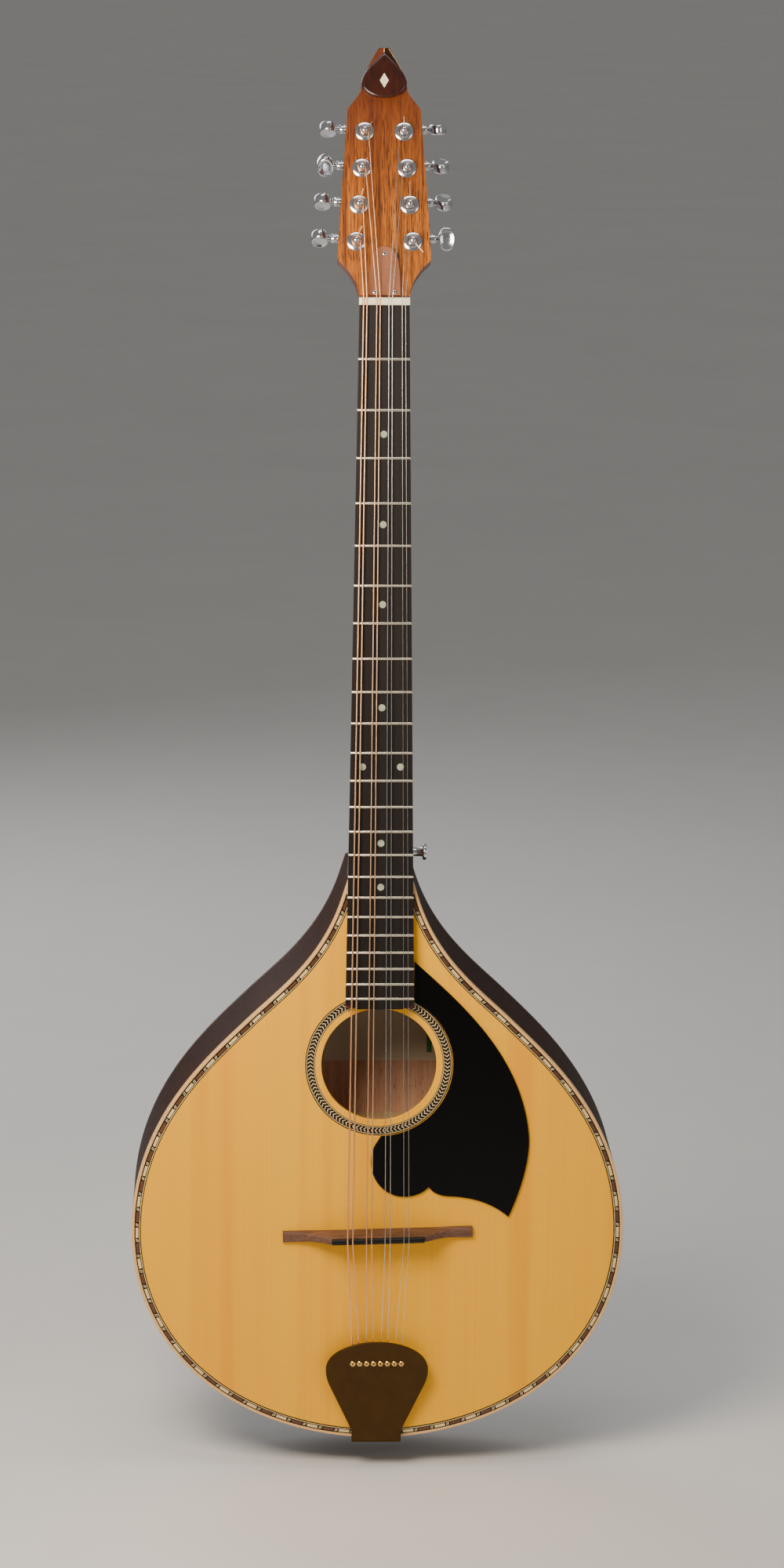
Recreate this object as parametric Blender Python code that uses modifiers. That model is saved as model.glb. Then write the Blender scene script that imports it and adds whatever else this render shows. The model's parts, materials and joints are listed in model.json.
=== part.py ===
"""Eight-string flat-backed bouzouki, built piece by piece.

Lengths are in metres.  The instrument hangs upright: the neck runs along +Z, the
soundboard faces -Y and the back faces +Y.  The world origin is where a yoke under
the headstock carries it.

Three frames hang under that point.  The body frame has z = 0 at the tail, y = 0 on
the soundboard's face and x = 0 on the centre line.  The neck frame starts at the
fingerboard's nut end and leans back with the fingerboard.  The head frame starts
at the nut's upper side and leans back with the headstock.
"""
import math

import bmesh
import bpy
from mathutils import Matrix, Vector

MM = 0.001
GAP = 0.3 * MM                      # room left between pieces that touch

# Body
BODY_LENGTH = 405.5 * MM            # tail to the neck joint
BODY_HALF_WIDTH = 172.3 * MM
BODY_DEPTH = 85.0 * MM
WIDEST_Z = 152.7 * MM
SHOULDER_X = 91.8 * MM              # where the upper curve turns hollow
SHOULDER_Z = 305.8 * MM
SHOULDER_SLOPE = math.radians(44.5)
FLANK_X = 26.8 * MM                 # where the upper curve turns straight
FLANK_Z = 391.6 * MM
NECK_END_X = 22.4 * MM              # half width of the body's flat upper end
TOP_THICKNESS = 3.0 * MM
BACK_THICKNESS = 3.0 * MM
SIDE_THICKNESS = 2.2 * MM
BINDING_WIDTH = 2.2 * MM
BINDING_DEPTH = 6.0 * MM
SOUND_HOLE_Z = 273.9 * MM
SOUND_HOLE_RADIUS = 40.0 * MM
ROSETTE_RADIUS = 51.6 * MM
GUARD_THICKNESS = 1.5 * MM

# Neck and fingerboard
SCALE_LENGTH = 650.0 * MM
FRET_COUNT = 23
NUT_Z = 801.0 * MM                  # body frame, lower side of the nut
NECK_LEAN = math.radians(2.5)
LAST_FRET_HEIGHT = 9.0 * MM         # fingerboard over the soundboard at the last fret
FINGERBOARD_THICKNESS = 5.0 * MM
FINGERBOARD_TAIL = 7.5 * MM         # wood past the last fret
NUT_HALF_WIDTH = 16.85 * MM
LAST_FRET_HALF_WIDTH = 23.6 * MM
NECK_WOOD_AT_NUT = 14.5 * MM
NECK_WOOD_AT_HEEL = 17.0 * MM
NECK_SQUARES_AT = 775.0 * MM        # the section turns square from here to the nut
WEDGE_END_Z = 389.0 * MM
HEEL_LENGTH = 52.0 * MM
HEEL_BACK_Y = 81.0 * MM
ROD_CHANNEL_HALF_WIDTH = 3.3 * MM
STRAP_SEAT_X = 18.6 * MM            # body frame place of the strap button's seat
STRAP_Y = 24.0 * MM
STRAP_Z = 420.3 * MM
NUT_LENGTH = 5.0 * MM
NUT_HEIGHT = 2.2 * MM               # nut's crown over the fingerboard

# Headstock
HEAD_LEAN = math.radians(16.0)      # past the neck's own lean
HEAD_DROP = 4.5 * MM                # fingerboard surface down to the headstock's face
HEAD_THICKNESS = 15.0 * MM
VENEER_THICKNESS = 1.2 * MM
HEAD_LENGTH = 172.0 * MM
CREST_HEIGHT = 5.0 * MM
POST_HOLE_RADIUS = 5.3 * MM

# Tuning machines: one set for each string, bass to treble
POST_SPACING = 25.3 * MM
LOWEST_POST_Z = 38.0 * MM
LOWEST_POST_X = 19.1 * MM
POST_X_STEP = -1.92 * MM            # posts close in towards the tip
SHAFT_OFFSET = 7.2 * MM             # worm shaft above its post's axis
SHAFT_DEPTH = 21.8 * MM             # worm shaft behind the face
KNOB_START = 18.1 * MM              # from the post's axis, along the shaft
KNOB_SIZE = (12.0 * MM, 16.4 * MM, 7.0 * MM)   # along the shaft, across it, thick
KNOB_TURNS = (75, 80, 50, 83, 105, -57, -51, 15)  # degrees, bass to treble
GEAR_TEETH = 14

# Strings, bass to treble
STRING_RADII = tuple(r * MM for r in (0.56, 0.56, 0.41, 0.41, 0.28, 0.28, 0.17, 0.17))
COURSE_AT_NUT = (13.0 * MM, 4.1 * MM)          # half distances, outer and inner courses
COURSE_AT_BRIDGE = (19.6 * MM, 6.5 * MM)
PAIR_AT_NUT = 2.3 * MM
PAIR_AT_BRIDGE = 3.6 * MM
BALL_PITCH = 4.87 * MM
STRING_OVER_NUT = 1.6 * MM          # over the fingerboard
WRAP_HEIGHT = 4.0 * MM              # over the headstock's face

# Bridge and tailpiece
BRIDGE_Z = 151.0 * MM
BRIDGE_HALF_LENGTH = 66.5 * MM
BRIDGE_SLANT = math.radians(1.6)
SADDLE_HALF_LENGTH = 32.6 * MM
SADDLE_TOP = 19.0 * MM
BRIDGE_BACK = 15.4 * MM             # height of the wood under the saddle
TAIL_PLATE_THICKNESS = 2.0 * MM
TAIL_PLATE_RISE = math.radians(5.5)
TAIL_PLATE_FOOT = 3.6 * MM          # plate's middle over the soundboard at the tail
TAIL_HALF_WIDTH = 17.4 * MM
BALL_ROW_Z = 58.9 * MM

HANGER = Vector((0.0, 24.0 * MM, 806.0 * MM))  # body frame point that is the origin

MATERIALS = {
    # name: (linear RGB, roughness, metallic)
    "spruce": ((0.72, 0.43, 0.15), 0.35, 0.0),
    "rosewood": ((0.10, 0.045, 0.025), 0.35, 0.0),
    "mahogany": ((0.23, 0.075, 0.03), 0.35, 0.0),
    "walnut": ((0.42, 0.16, 0.04), 0.35, 0.0),
    "ebony": ((0.03, 0.025, 0.025), 0.4, 0.0),
    "maple": ((0.62, 0.45, 0.27), 0.35, 0.0),
    "bone": ((0.85, 0.78, 0.6), 0.35, 0.0),
    "chrome": ((0.75, 0.76, 0.78), 0.12, 1.0),
    "steel": ((0.55, 0.55, 0.56), 0.3, 1.0),
    "bronze_wire": ((0.65, 0.42, 0.24), 0.35, 1.0),
    "brass_plate": ((0.09, 0.06, 0.03), 0.45, 1.0),
    "black_plastic": ((0.012, 0.012, 0.013), 0.2, 0.0),
}


# ---------------------------------------------------------------- scene helpers

def clear_scene():
    for obj in list(bpy.data.objects):
        bpy.data.objects.remove(obj, do_unlink=True)


def new_collection(name):
    collection = bpy.data.collections.new(name)
    bpy.context.scene.collection.children.link(collection)
    return collection


def make_materials():
    made = {}
    for name, (colour, roughness, metallic) in MATERIALS.items():
        material = bpy.data.materials.new(name)
        material.use_nodes = True
        shader = material.node_tree.nodes["Principled BSDF"]
        shader.inputs["Base Color"].default_value = (*colour, 1.0)
        shader.inputs["Roughness"].default_value = roughness
        shader.inputs["Metallic"].default_value = metallic
        made[name] = material
    return made


clear_scene()
PARTS = new_collection("bouzouki")
CUTTERS = new_collection("cutters")
MATERIAL = make_materials()


def make_frame(name, location, lean, parent):
    frame = bpy.data.objects.new(name, None)
    frame.location = location
    frame.rotation_euler = (lean, 0.0, 0.0)
    frame.parent = parent
    PARTS.objects.link(frame)
    return frame


LAST_FRET = SCALE_LENGTH * (1.0 - 2.0 ** (-FRET_COUNT / 12.0))   # from the nut


def fingerboard_y(z):
    """Height line of the fingerboard's surface, in the body frame."""
    return -LAST_FRET_HEIGHT + (z - (NUT_Z - LAST_FRET)) * math.tan(NECK_LEAN)


BODY = make_frame("body_frame", -HANGER, 0.0, None)
NECK = make_frame("neck_frame", (0.0, fingerboard_y(NUT_Z), NUT_Z), -NECK_LEAN, BODY)
HEAD = make_frame("head_frame", (0.0, HEAD_DROP, NUT_LENGTH), -HEAD_LEAN, NECK)


def from_head(point):
    """A head-frame point in the body frame."""
    x, y, z = point
    lean = Matrix.Rotation(-HEAD_LEAN, 3, "X")
    in_neck = lean @ Vector((x, y, z)) + Vector((0.0, HEAD_DROP, NUT_LENGTH))
    lean = Matrix.Rotation(-NECK_LEAN, 3, "X")
    return lean @ in_neck + Vector((0.0, fingerboard_y(NUT_Z), NUT_Z))


def add_part(name, data, material, frame, location=(0, 0, 0), rotation=(0, 0, 0)):
    obj = bpy.data.objects.new(name, data)
    obj.location = location
    obj.rotation_euler = rotation
    obj.parent = frame
    if not data.materials:
        data.materials.append(MATERIAL[material])
    PARTS.objects.link(obj)
    return obj


def add_cutter(name, data, frame, location=(0, 0, 0), rotation=(0, 0, 0)):
    obj = bpy.data.objects.new(name, data)
    obj.location = location
    obj.rotation_euler = rotation
    obj.parent = frame
    obj.hide_render = True
    obj.display_type = "WIRE"
    CUTTERS.objects.link(obj)
    return obj


def combine(obj, other, operation, solver="EXACT"):
    boolean = obj.modifiers.new(operation.lower(), "BOOLEAN")
    boolean.operation = operation
    boolean.solver = solver
    boolean.object = other


# ---------------------------------------------------------------- shape helpers

def mesh_from(bm, name, smooth=False):
    mesh = bpy.data.meshes.new(name)
    bm.to_mesh(mesh)
    bm.free()
    if smooth:
        mesh.shade_smooth()
        mesh.set_sharp_from_angle(angle=math.radians(40))
    return mesh


def box_mesh(name, low, high):
    bm = bmesh.new()
    low, high = Vector(low), Vector(high)
    bmesh.ops.create_cube(bm, size=1.0)
    size = high - low
    bmesh.ops.scale(bm, vec=size, verts=bm.verts)
    bmesh.ops.translate(bm, vec=(low + high) / 2, verts=bm.verts)
    return mesh_from(bm, name)


def rod_mesh(name, radius, start, end, segments=20):
    """A round bar along local X."""
    bm = bmesh.new()
    bmesh.ops.create_cone(bm, cap_ends=True, segments=segments, radius1=radius,
                          radius2=radius, depth=end - start,
                          matrix=Matrix.Rotation(math.pi / 2, 4, "Y"))
    bmesh.ops.translate(bm, vec=((start + end) / 2, 0, 0), verts=bm.verts)
    return mesh_from(bm, name, smooth=True)


def bezier(start, handle_a, handle_b, end, steps):
    """Points on a cubic curve, its last point left out."""
    points = []
    for i in range(steps):
        t = i / steps
        weights = ((1 - t) ** 3, 3 * t * (1 - t) ** 2, 3 * t * t * (1 - t), t ** 3)
        corners = (start, handle_a, handle_b, end)
        points.append(tuple(sum(w * c[k] for w, c in zip(weights, corners)) for k in (0, 1)))
    return points


def circle(centre, radius, segments):
    steps = [2 * math.pi * i / segments for i in range(segments)]
    return [(centre[0] + radius * math.cos(a), centre[1] + radius * math.sin(a)) for a in steps]


def mirrored(half):
    """A closed loop from a half outline that starts and ends on x = 0."""
    return half + [(-x, z) for x, z in reversed(half[1:-1])]


def inset_half(half, distance):
    """The half outline moved inwards, its two ends kept on the centre line."""
    first = (-half[1][0], half[1][1])
    last = (-half[-2][0], half[-2][1])
    padded = [first] + half + [last]
    moved = []
    for before, here, after in zip(padded, half, padded[2:]):
        a = (Vector(here) - Vector(before)).normalized()
        b = (Vector(after) - Vector(here)).normalized()
        inward = Vector((-(a.y + b.y), a.x + b.x)).normalized()
        stretch = 1.0 / max(0.4, math.sqrt((1.0 + a.dot(b)) / 2.0))
        moved.append(tuple(Vector(here) + inward * distance * stretch))
    return moved


def plate_curve(name, loops, thickness):
    """A flat outline with holes: drawn in local XY, thick along local Z."""
    curve = bpy.data.curves.new(name, "CURVE")
    curve.dimensions = "2D"
    curve.fill_mode = "BOTH"
    curve.extrude = thickness / 2
    curve.render_resolution_u = 0
    for loop in loops:
        spline = curve.splines.new("POLY")
        spline.points.add(len(loop) - 1)
        for point, (x, y) in zip(spline.points, loop):
            point.co = (x, y, 0.0, 1.0)
        spline.use_cyclic_u = True
    return curve


def add_plate(name, loops, y_front, y_back, material, frame):
    """A plate drawn in x and z, reaching from y_front back to y_back."""
    curve = plate_curve(name, loops, y_back - y_front)
    return add_part(name, curve, material, frame, (0, (y_front + y_back) / 2, 0),
                    (math.pi / 2, 0, 0))


def to_mesh(obj):
    """The same object with its curve made a welded mesh."""
    bpy.context.view_layer.update()
    evaluated = obj.evaluated_get(bpy.context.evaluated_depsgraph_get())
    mesh = bpy.data.meshes.new_from_object(evaluated)
    bm = bmesh.new()
    bm.from_mesh(mesh)
    bmesh.ops.remove_doubles(bm, verts=bm.verts, dist=1e-6)
    bmesh.ops.recalc_face_normals(bm, faces=bm.faces)
    bm.to_mesh(mesh)
    bm.free()
    name = obj.name
    location, rotation, parent = obj.location.copy(), obj.rotation_euler.copy(), obj.parent
    bpy.data.objects.remove(obj, do_unlink=True)
    solid = bpy.data.objects.new(name, mesh)
    solid.location = location
    solid.rotation_euler = rotation
    solid.parent = parent
    PARTS.objects.link(solid)
    return solid


def turned_mesh(name, profile, segments, closed=False):
    """A profile of (radius, height) turned about local Z, down its outer side."""
    mesh = bpy.data.meshes.new(name)
    edges = [(i, i + 1) for i in range(len(profile) - 1)]
    if closed:
        edges.append((len(profile) - 1, 0))
    mesh.from_pydata([(r, 0.0, z) for r, z in profile], edges, [])
    guide = bpy.data.objects.new(name, mesh)
    PARTS.objects.link(guide)
    screw = guide.modifiers.new("turn", "SCREW")
    screw.steps = segments
    screw.render_steps = segments
    screw.use_merge_vertices = True
    screw.merge_threshold = 1e-6
    bpy.context.view_layer.update()
    evaluated = guide.evaluated_get(bpy.context.evaluated_depsgraph_get())
    turned = bpy.data.meshes.new_from_object(evaluated)
    bpy.data.objects.remove(guide, do_unlink=True)
    turned.shade_smooth()
    turned.set_sharp_from_angle(angle=math.radians(40))
    return turned


def loft_mesh(name, rings):
    """Skin a row of closed rings that all have the same number of points."""
    bm = bmesh.new()
    rows = [[bm.verts.new(p) for p in ring] for ring in rings]
    count = len(rings[0])
    for lower, upper in zip(rows, rows[1:]):
        for i in range(count):
            j = (i + 1) % count
            bm.faces.new((lower[i], lower[j], upper[j], upper[i]))
    bm.faces.new(list(reversed(rows[0])))
    bm.faces.new(rows[-1])
    bmesh.ops.remove_doubles(bm, verts=bm.verts, dist=1e-6)
    bmesh.ops.recalc_face_normals(bm, faces=bm.faces)
    return mesh_from(bm, name, smooth=True)


def wire_curve(name, points, radius):
    curve = bpy.data.curves.new(name, "CURVE")
    curve.dimensions = "3D"
    curve.bevel_depth = radius
    curve.bevel_resolution = 2
    curve.use_fill_caps = True
    curve.render_resolution_u = 0
    spline = curve.splines.new("POLY")
    spline.points.add(len(points) - 1)
    for point, co in zip(spline.points, points):
        point.co = (*co, 1.0)
    return curve


# ---------------------------------------------------------------- body

def body_half_outline():
    """Right half of the soundboard's edge, from the tail's centre to the neck's."""
    out = Vector((-math.cos(SHOULDER_SLOPE), math.sin(SHOULDER_SLOPE)))
    turn = Vector((SHOULDER_X, SHOULDER_Z))
    flank = Vector((FLANK_X, FLANK_Z))
    rise = Vector((-0.305, 0.952))
    side = (BODY_HALF_WIDTH, WIDEST_Z)
    tail = bezier((0, 0), (89.2 * MM, 0), (BODY_HALF_WIDTH, WIDEST_Z - 96.4 * MM), side, 14)
    waist = bezier(side, (BODY_HALF_WIDTH, WIDEST_Z + 79.3 * MM),
                   turn - 39.8 * MM * out, turn, 12)
    shoulder = bezier(turn, turn + 29.3 * MM * out, flank - 46.0 * MM * rise, flank, 9)
    joint = [(NECK_END_X, BODY_LENGTH), (0.0, BODY_LENGTH)]
    return tail + waist + shoulder + [tuple(flank)] + joint


HALF_OUTLINE = body_half_outline()
SIDE_TOP_Y = BINDING_DEPTH + GAP
BACK_FRONT_Y = BODY_DEPTH - BACK_THICKNESS


def make_body():
    rim = mirrored(HALF_OUTLINE)
    within_binding = mirrored(inset_half(HALF_OUTLINE, BINDING_WIDTH + GAP))
    binding_inner = mirrored(inset_half(HALF_OUTLINE, BINDING_WIDTH))
    hole = circle((0, SOUND_HOLE_Z), SOUND_HOLE_RADIUS, 40)
    add_plate("soundboard", [within_binding, hole], 0, TOP_THICKNESS, "spruce", BODY)
    add_plate("binding_front", [rim, binding_inner], 0, BINDING_DEPTH, "maple", BODY)
    add_plate("back_plate", [rim], BACK_FRONT_Y, BODY_DEPTH, "rosewood", BODY)
    inner = inset_half(HALF_OUTLINE, SIDE_THICKNESS)
    for name, side in (("side_treble", 1), ("side_bass", -1)):
        wall = HALF_OUTLINE + list(reversed(inner))
        wall = [(side * max(x, GAP / 2), z) for x, z in wall]
        add_plate(name, [wall], SIDE_TOP_Y, BACK_FRONT_Y - GAP, "rosewood", BODY)


def make_inner_blocks():
    """Blocks that take the neck and the tailpiece."""
    front = TOP_THICKNESS + GAP
    back = BACK_FRONT_Y - GAP
    top = BODY_LENGTH - SIDE_THICKNESS - GAP
    block = box_mesh("neck_block", (-20 * MM, front, top - 40 * MM), (20 * MM, back, top))
    add_part("neck_block", block, "mahogany", BODY)
    tail_z = SIDE_THICKNESS + 3.2 * MM
    block = box_mesh("tail_block", (-30 * MM, front, tail_z), (30 * MM, back, tail_z + 20 * MM))
    add_part("tail_block", block, "mahogany", BODY)


def pickguard_loop():
    """Pear-shaped guard: a long outer curve, a pointed foot and a scalloped foot edge."""
    points = bezier((24.2, 347.9), (57.5, 317.5), (99.0, 281.0), (105.0, 224.0), 9)
    points += bezier((105.0, 224.0), (107.0, 206.0), (99.0, 180.0), (91.5, 163.5), 6)
    points += bezier((91.5, 163.5), (80.0, 174.0), (66.0, 177.7), (52.0, 178.5), 5)
    points += bezier((52.0, 178.5), (44.0, 178.5), (38.0, 181.0), (35.6, 185.4), 3)
    points += bezier((35.6, 185.4), (29.0, 178.0), (17.0, 176.5), (9.0, 180.5), 4)
    points += bezier((9.0, 180.5), (-7.5, 188.0), (-8.5, 211.0), (1.0, 220.5), 5)
    points = [(x * MM, z * MM) for x, z in points]
    radius = ROSETTE_RADIUS
    start, end = math.radians(-88), math.radians(62)
    arc = [start + (end - start) * i / 12 for i in range(13)]
    points += [(radius * math.cos(a), SOUND_HOLE_Z + radius * math.sin(a)) for a in arc]
    return points


def make_pickguard():
    add_plate("pickguard", [pickguard_loop()], -GAP - GUARD_THICKNESS, -GAP, "black_plastic",
              BODY)


# ---------------------------------------------------------------- neck

def half_width_at(z):
    """Half the fingerboard's width at a height in the body frame."""
    share = (NUT_Z - z) / LAST_FRET
    return NUT_HALF_WIDTH + (LAST_FRET_HALF_WIDTH - NUT_HALF_WIDTH) * share


def neck_ring(z, y_front, y_back, half_width, power):
    """A section flat in front and rounded behind: a higher power is squarer."""
    ring = [(-half_width, y_front, z), (half_width, y_front, z)]
    steps = 12
    for i in range(1, steps):
        angle = math.pi * i / steps
        x = half_width * math.copysign(abs(math.cos(angle)) ** (2 / power), math.cos(angle))
        y = y_front + (y_back - y_front) * math.sin(angle) ** (2 / power)
        ring.append((x, y, z))
    return ring


def neck_rings():
    """Sections from the heel's face at the body up to the nut's far side."""
    joint = BODY_LENGTH + GAP
    top = NUT_Z + NUT_LENGTH
    heights = [joint + HEEL_LENGTH * u for u in (0, 0.06, 0.14, 0.23, 0.34, 0.46, 0.6, 0.78, 1)]
    heights += [0.53, 0.6, 0.68, 0.75, NECK_SQUARES_AT + 5 * MM, 0.791, 0.799, top]
    rings = []
    for z in heights:
        along = (z - joint) / (NUT_Z - joint)
        wood = NECK_WOOD_AT_HEEL + (NECK_WOOD_AT_NUT - NECK_WOOD_AT_HEEL) * along
        front = fingerboard_y(z) + FINGERBOARD_THICKNESS + GAP
        heel = max(0.0, 1.0 - (z - joint) / HEEL_LENGTH) ** 1.8
        back = front + wood + (HEEL_BACK_Y - front - wood) * heel
        square = max(0.0, (z - NECK_SQUARES_AT) / (top - NECK_SQUARES_AT))
        power = 2.3 + heel + 4.0 * square
        rings.append(neck_ring(z, front, back, half_width_at(z), power))
    return rings


def make_fingerboard_wedge():
    """Thin wedge that fills the room between the soundboard and the fingerboard's tongue."""
    rings = []
    for z in (NUT_Z - LAST_FRET - FINGERBOARD_TAIL, WEDGE_END_Z):
        front = fingerboard_y(z) + FINGERBOARD_THICKNESS + GAP
        half = half_width_at(z)
        rings.append([(-half, front, z), (half, front, z), (half, -GAP, z), (-half, -GAP, z)])
    wedge = loft_mesh("fingerboard_wedge", rings)
    add_part("fingerboard_wedge", wedge, "mahogany", BODY)


def head_half_outline(length=HEAD_LENGTH):
    """Right half of the headstock, from the nut to the flat tip."""
    points = [(0.0, 0.0)]
    points += [(x * MM, z * MM) for x, z in
               bezier((17.4, 0.0), (17.4, 8.5), (22.5, 17.5), (30.6, 24.4), 7)]
    points += [(x * MM, z * MM) for x, z in
               bezier((30.6, 24.4), (31.6, 25.4), (31.6, 26.6), (31.5, 28.5), 2)]
    points += [(x * MM, z * MM) for x, z in
               bezier((31.5, 28.5), (30, 60), (27, 96), (24.8, 129.5), 3)]
    points += [(x * MM, z * MM) for x, z in
               bezier((24.8, 129.5), (21, 134.5), (17.5, 138.5), (15.7, 142.0), 3)]
    points += [(x * MM, z * MM) for x, z in
               bezier((15.7, 142.0), (15.9, 150), (10.5, 160), (3.6, 172.0), 5)]
    return points + [(3.6 * MM, length), (0.0, length)]


def make_neck():
    neck = add_part("neck", loft_mesh("neck", neck_rings()), "mahogany", BODY)
    start = -2.3 * MM
    outline = [(x, max(z, start) if z > 0 else start) for x, z in head_half_outline()]
    core = add_plate("head_core", [mirrored(outline)], VENEER_THICKNESS + GAP, HEAD_THICKNESS,
                     "mahogany", HEAD)
    core = to_mesh(core)
    PARTS.objects.unlink(core)
    CUTTERS.objects.link(core)
    core.hide_render = True
    core.display_type = "WIRE"
    combine(neck, core, "UNION", solver="MANIFOLD")   # EXACT leaves seams at this shallow angle
    low = (-ROD_CHANNEL_HALF_WIDTH, 4.0 * MM, -380 * MM)
    high = (ROD_CHANNEL_HALF_WIDTH, 14.3 * MM, 30 * MM)
    channel = box_mesh("rod_channel", low, high)
    combine(neck, add_cutter("rod_channel", channel, NECK), "DIFFERENCE")
    for number in range(1, 9):
        x, z = post_place(number)
        hole = rod_mesh("post_hole_%d" % number, POST_HOLE_RADIUS, -HEAD_THICKNESS * 2, 2 * MM,
                        14)
        cutter = add_cutter(hole.name, hole, HEAD, (x, 0, z), (0, 0, -math.pi / 2))
        combine(neck, cutter, "DIFFERENCE")
    seat = rod_mesh("strap_seat", 5.6 * MM, STRAP_SEAT_X, 40 * MM)
    combine(neck, add_cutter("strap_seat", seat, BODY, (0, STRAP_Y, STRAP_Z)), "DIFFERENCE")
    return neck


def make_neck_fittings():
    end = LAST_FRET + FINGERBOARD_TAIL
    wide = half_width_at(NUT_Z - end)
    clip = 3.2 * MM
    board = [(0, -end), (wide - 2.5 * clip, -end), (wide, clip - end), (NUT_HALF_WIDTH, 0),
             (0, 0)]
    add_plate("fingerboard", [mirrored(board)], 0, FINGERBOARD_THICKNESS, "ebony", NECK)
    rod = rod_mesh("truss_rod", 2.8 * MM, -378 * MM, 10 * MM, 12)
    add_part("truss_rod", rod, "steel", NECK, (0, 9.9 * MM, 0), (0, -math.pi / 2, 0))
    make_nut()
    button = turned_mesh("strap_button", [(r * MM, z * MM) for r, z in (
        (0, 14), (4.6, 14), (5.75, 13.1), (5.75, 11.6), (3.0, 10.7), (3.0, 3.4), (5.0, 0.3),
        (0, 0.3))], 16)
    add_part("strap_button", button, "chrome", BODY, (STRAP_SEAT_X, STRAP_Y, STRAP_Z),
             (0, math.pi / 2, 0))


def string_x(number, courses, pair):
    """Sideways place of a string, 1 to 8 from bass to treble."""
    course = (number - 1) // 2
    centre = (-courses[0], -courses[1], courses[1], courses[0])[course]
    return centre + (pair / 2 if number % 2 == 0 else -pair / 2)


def make_nut():
    """A bar with eight slots, drawn in x and y and thick along the neck."""
    half = NUT_HALF_WIDTH + 0.3 * MM
    crown = NUT_HEIGHT
    floor = STRING_OVER_NUT - STRING_RADII[0] - GAP
    loop = [(-half, -FINGERBOARD_THICKNESS), (half, -FINGERBOARD_THICKNESS), (half, crown)]
    for number in range(1, 9):
        x = -string_x(number, COURSE_AT_NUT, PAIR_AT_NUT)     # the bar is turned half round
        slot = STRING_RADII[number - 1] + GAP
        loop += [(x + slot, crown), (x + slot, floor), (x - slot, floor), (x - slot, crown)]
    loop.append((-half, crown))
    length = NUT_LENGTH - GAP
    curve = plate_curve("nut", [loop], length)
    add_part("nut", curve, "bone", NECK, (0, 0, GAP + length / 2), (0, 0, math.pi))


# ---------------------------------------------------------------- headstock

def make_headstock_faces():
    outline = [(x, max(z, 0.8 * MM)) for x, z in head_half_outline()]
    wide = ROD_CHANNEL_HALF_WIDTH
    pocket = [(-wide, 3 * MM), (wide, 3 * MM), (wide, 26 * MM), (-wide, 26 * MM)]
    holes = [circle(post_place(n), POST_HOLE_RADIUS, 14) for n in range(1, 9)]
    add_plate("headstock_veneer", [mirrored(outline), pocket] + holes, 0, VENEER_THICKNESS,
              "walnut", HEAD)
    cover = [(0, 1.0 * MM), (11.0 * MM, 1.0 * MM)]
    top = bezier((10.4, 22), (10.2, 29), (6.5, 34.5), (0, 34.5), 6)
    cover += [(x * MM, z * MM) for x, z in top]
    cover.append((0, 34.5 * MM))
    add_plate("truss_rod_cover", [mirrored(cover)], -GAP - 1.6 * MM, -GAP, "rosewood", HEAD)
    make_crest()


def make_crest():
    """Raised prow on the tip: a pointed drop in front, sloping facets behind it."""
    drop = bezier((0, 136.5), (9, 136.5), (15.4, 141), (15.4, 147), 5)
    drop += bezier((15.4, 147), (14.5, 154), (7.5, 161), (0, 168), 4)
    base = bezier((0, 137.5), (8, 137.5), (14.8, 141), (15.2, 146.5), 4)
    base += bezier((15.2, 146.5), (14.3, 153), (9.5, 160.5), (3.4, 171.5), 4)
    bm = bmesh.new()
    for loop, y in ((drop + [(0, 168)], -CREST_HEIGHT), (base + [(3.4, 171.5)], -GAP)):
        for x, z in loop:
            bm.verts.new((x * MM, y, z * MM))
            bm.verts.new((-x * MM, y, z * MM))
    bmesh.ops.remove_doubles(bm, verts=bm.verts, dist=1e-6)
    bmesh.ops.convex_hull(bm, input=bm.verts)
    bmesh.ops.recalc_face_normals(bm, faces=bm.faces)
    add_part("headstock_crest", mesh_from(bm, "headstock_crest"), "rosewood", HEAD)


# ---------------------------------------------------------------- tuning machines

def post_place(number):
    """Head-frame x and z of a string's post: 1 to 4 up the bass side, 5 to 8 down."""
    row = number - 1 if number <= 4 else 8 - number
    x = LOWEST_POST_X + POST_X_STEP * row
    return (-x if number <= 4 else x, LOWEST_POST_Z + POST_SPACING * row)


def post_mesh():
    """Domed post with its toothed wheel; z = 0 on the headstock's face."""
    profile = [(0, 8.4), (1.8, 7.9), (2.6, 6.4), (2.2, 5.6), (2.2, 2.9), (2.9, 2.5),
               (2.9, -26.2), (0, -26.2)]
    post = turned_mesh("string_post", [(r * MM, z * MM) for r, z in profile], 12)
    bm = bmesh.new()
    bmesh.ops.create_cone(bm, cap_ends=True, segments=2 * GEAR_TEETH, radius1=4.7 * MM,
                          radius2=4.7 * MM, depth=4.6 * MM)
    for vert in bm.verts:
        turn = math.atan2(vert.co.y, vert.co.x) / (2 * math.pi) * 2 * GEAR_TEETH
        if round(turn) % 2:
            vert.co.x *= 0.86
            vert.co.y *= 0.86
    bmesh.ops.translate(bm, vec=(0, 0, -SHAFT_DEPTH), verts=bm.verts)
    return joined_mesh("string_post", post, [mesh_from(bm, "wheel")], "UNION")


def joined_mesh(name, base, others, operation):
    """One mesh after Booleans with the others, for objects that share it."""
    obj = bpy.data.objects.new(name, base)
    PARTS.objects.link(obj)
    tools = []
    for mesh in others:
        tools.append(bpy.data.objects.new(mesh.name, mesh))
        CUTTERS.objects.link(tools[-1])
        combine(obj, tools[-1], operation)
    bpy.context.view_layer.update()
    evaluated = obj.evaluated_get(bpy.context.evaluated_depsgraph_get())
    result = bpy.data.meshes.new_from_object(evaluated)
    for used in tools + [obj]:
        bpy.data.objects.remove(used, do_unlink=True)
    result.name = name
    result.materials.clear()
    return result


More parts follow.
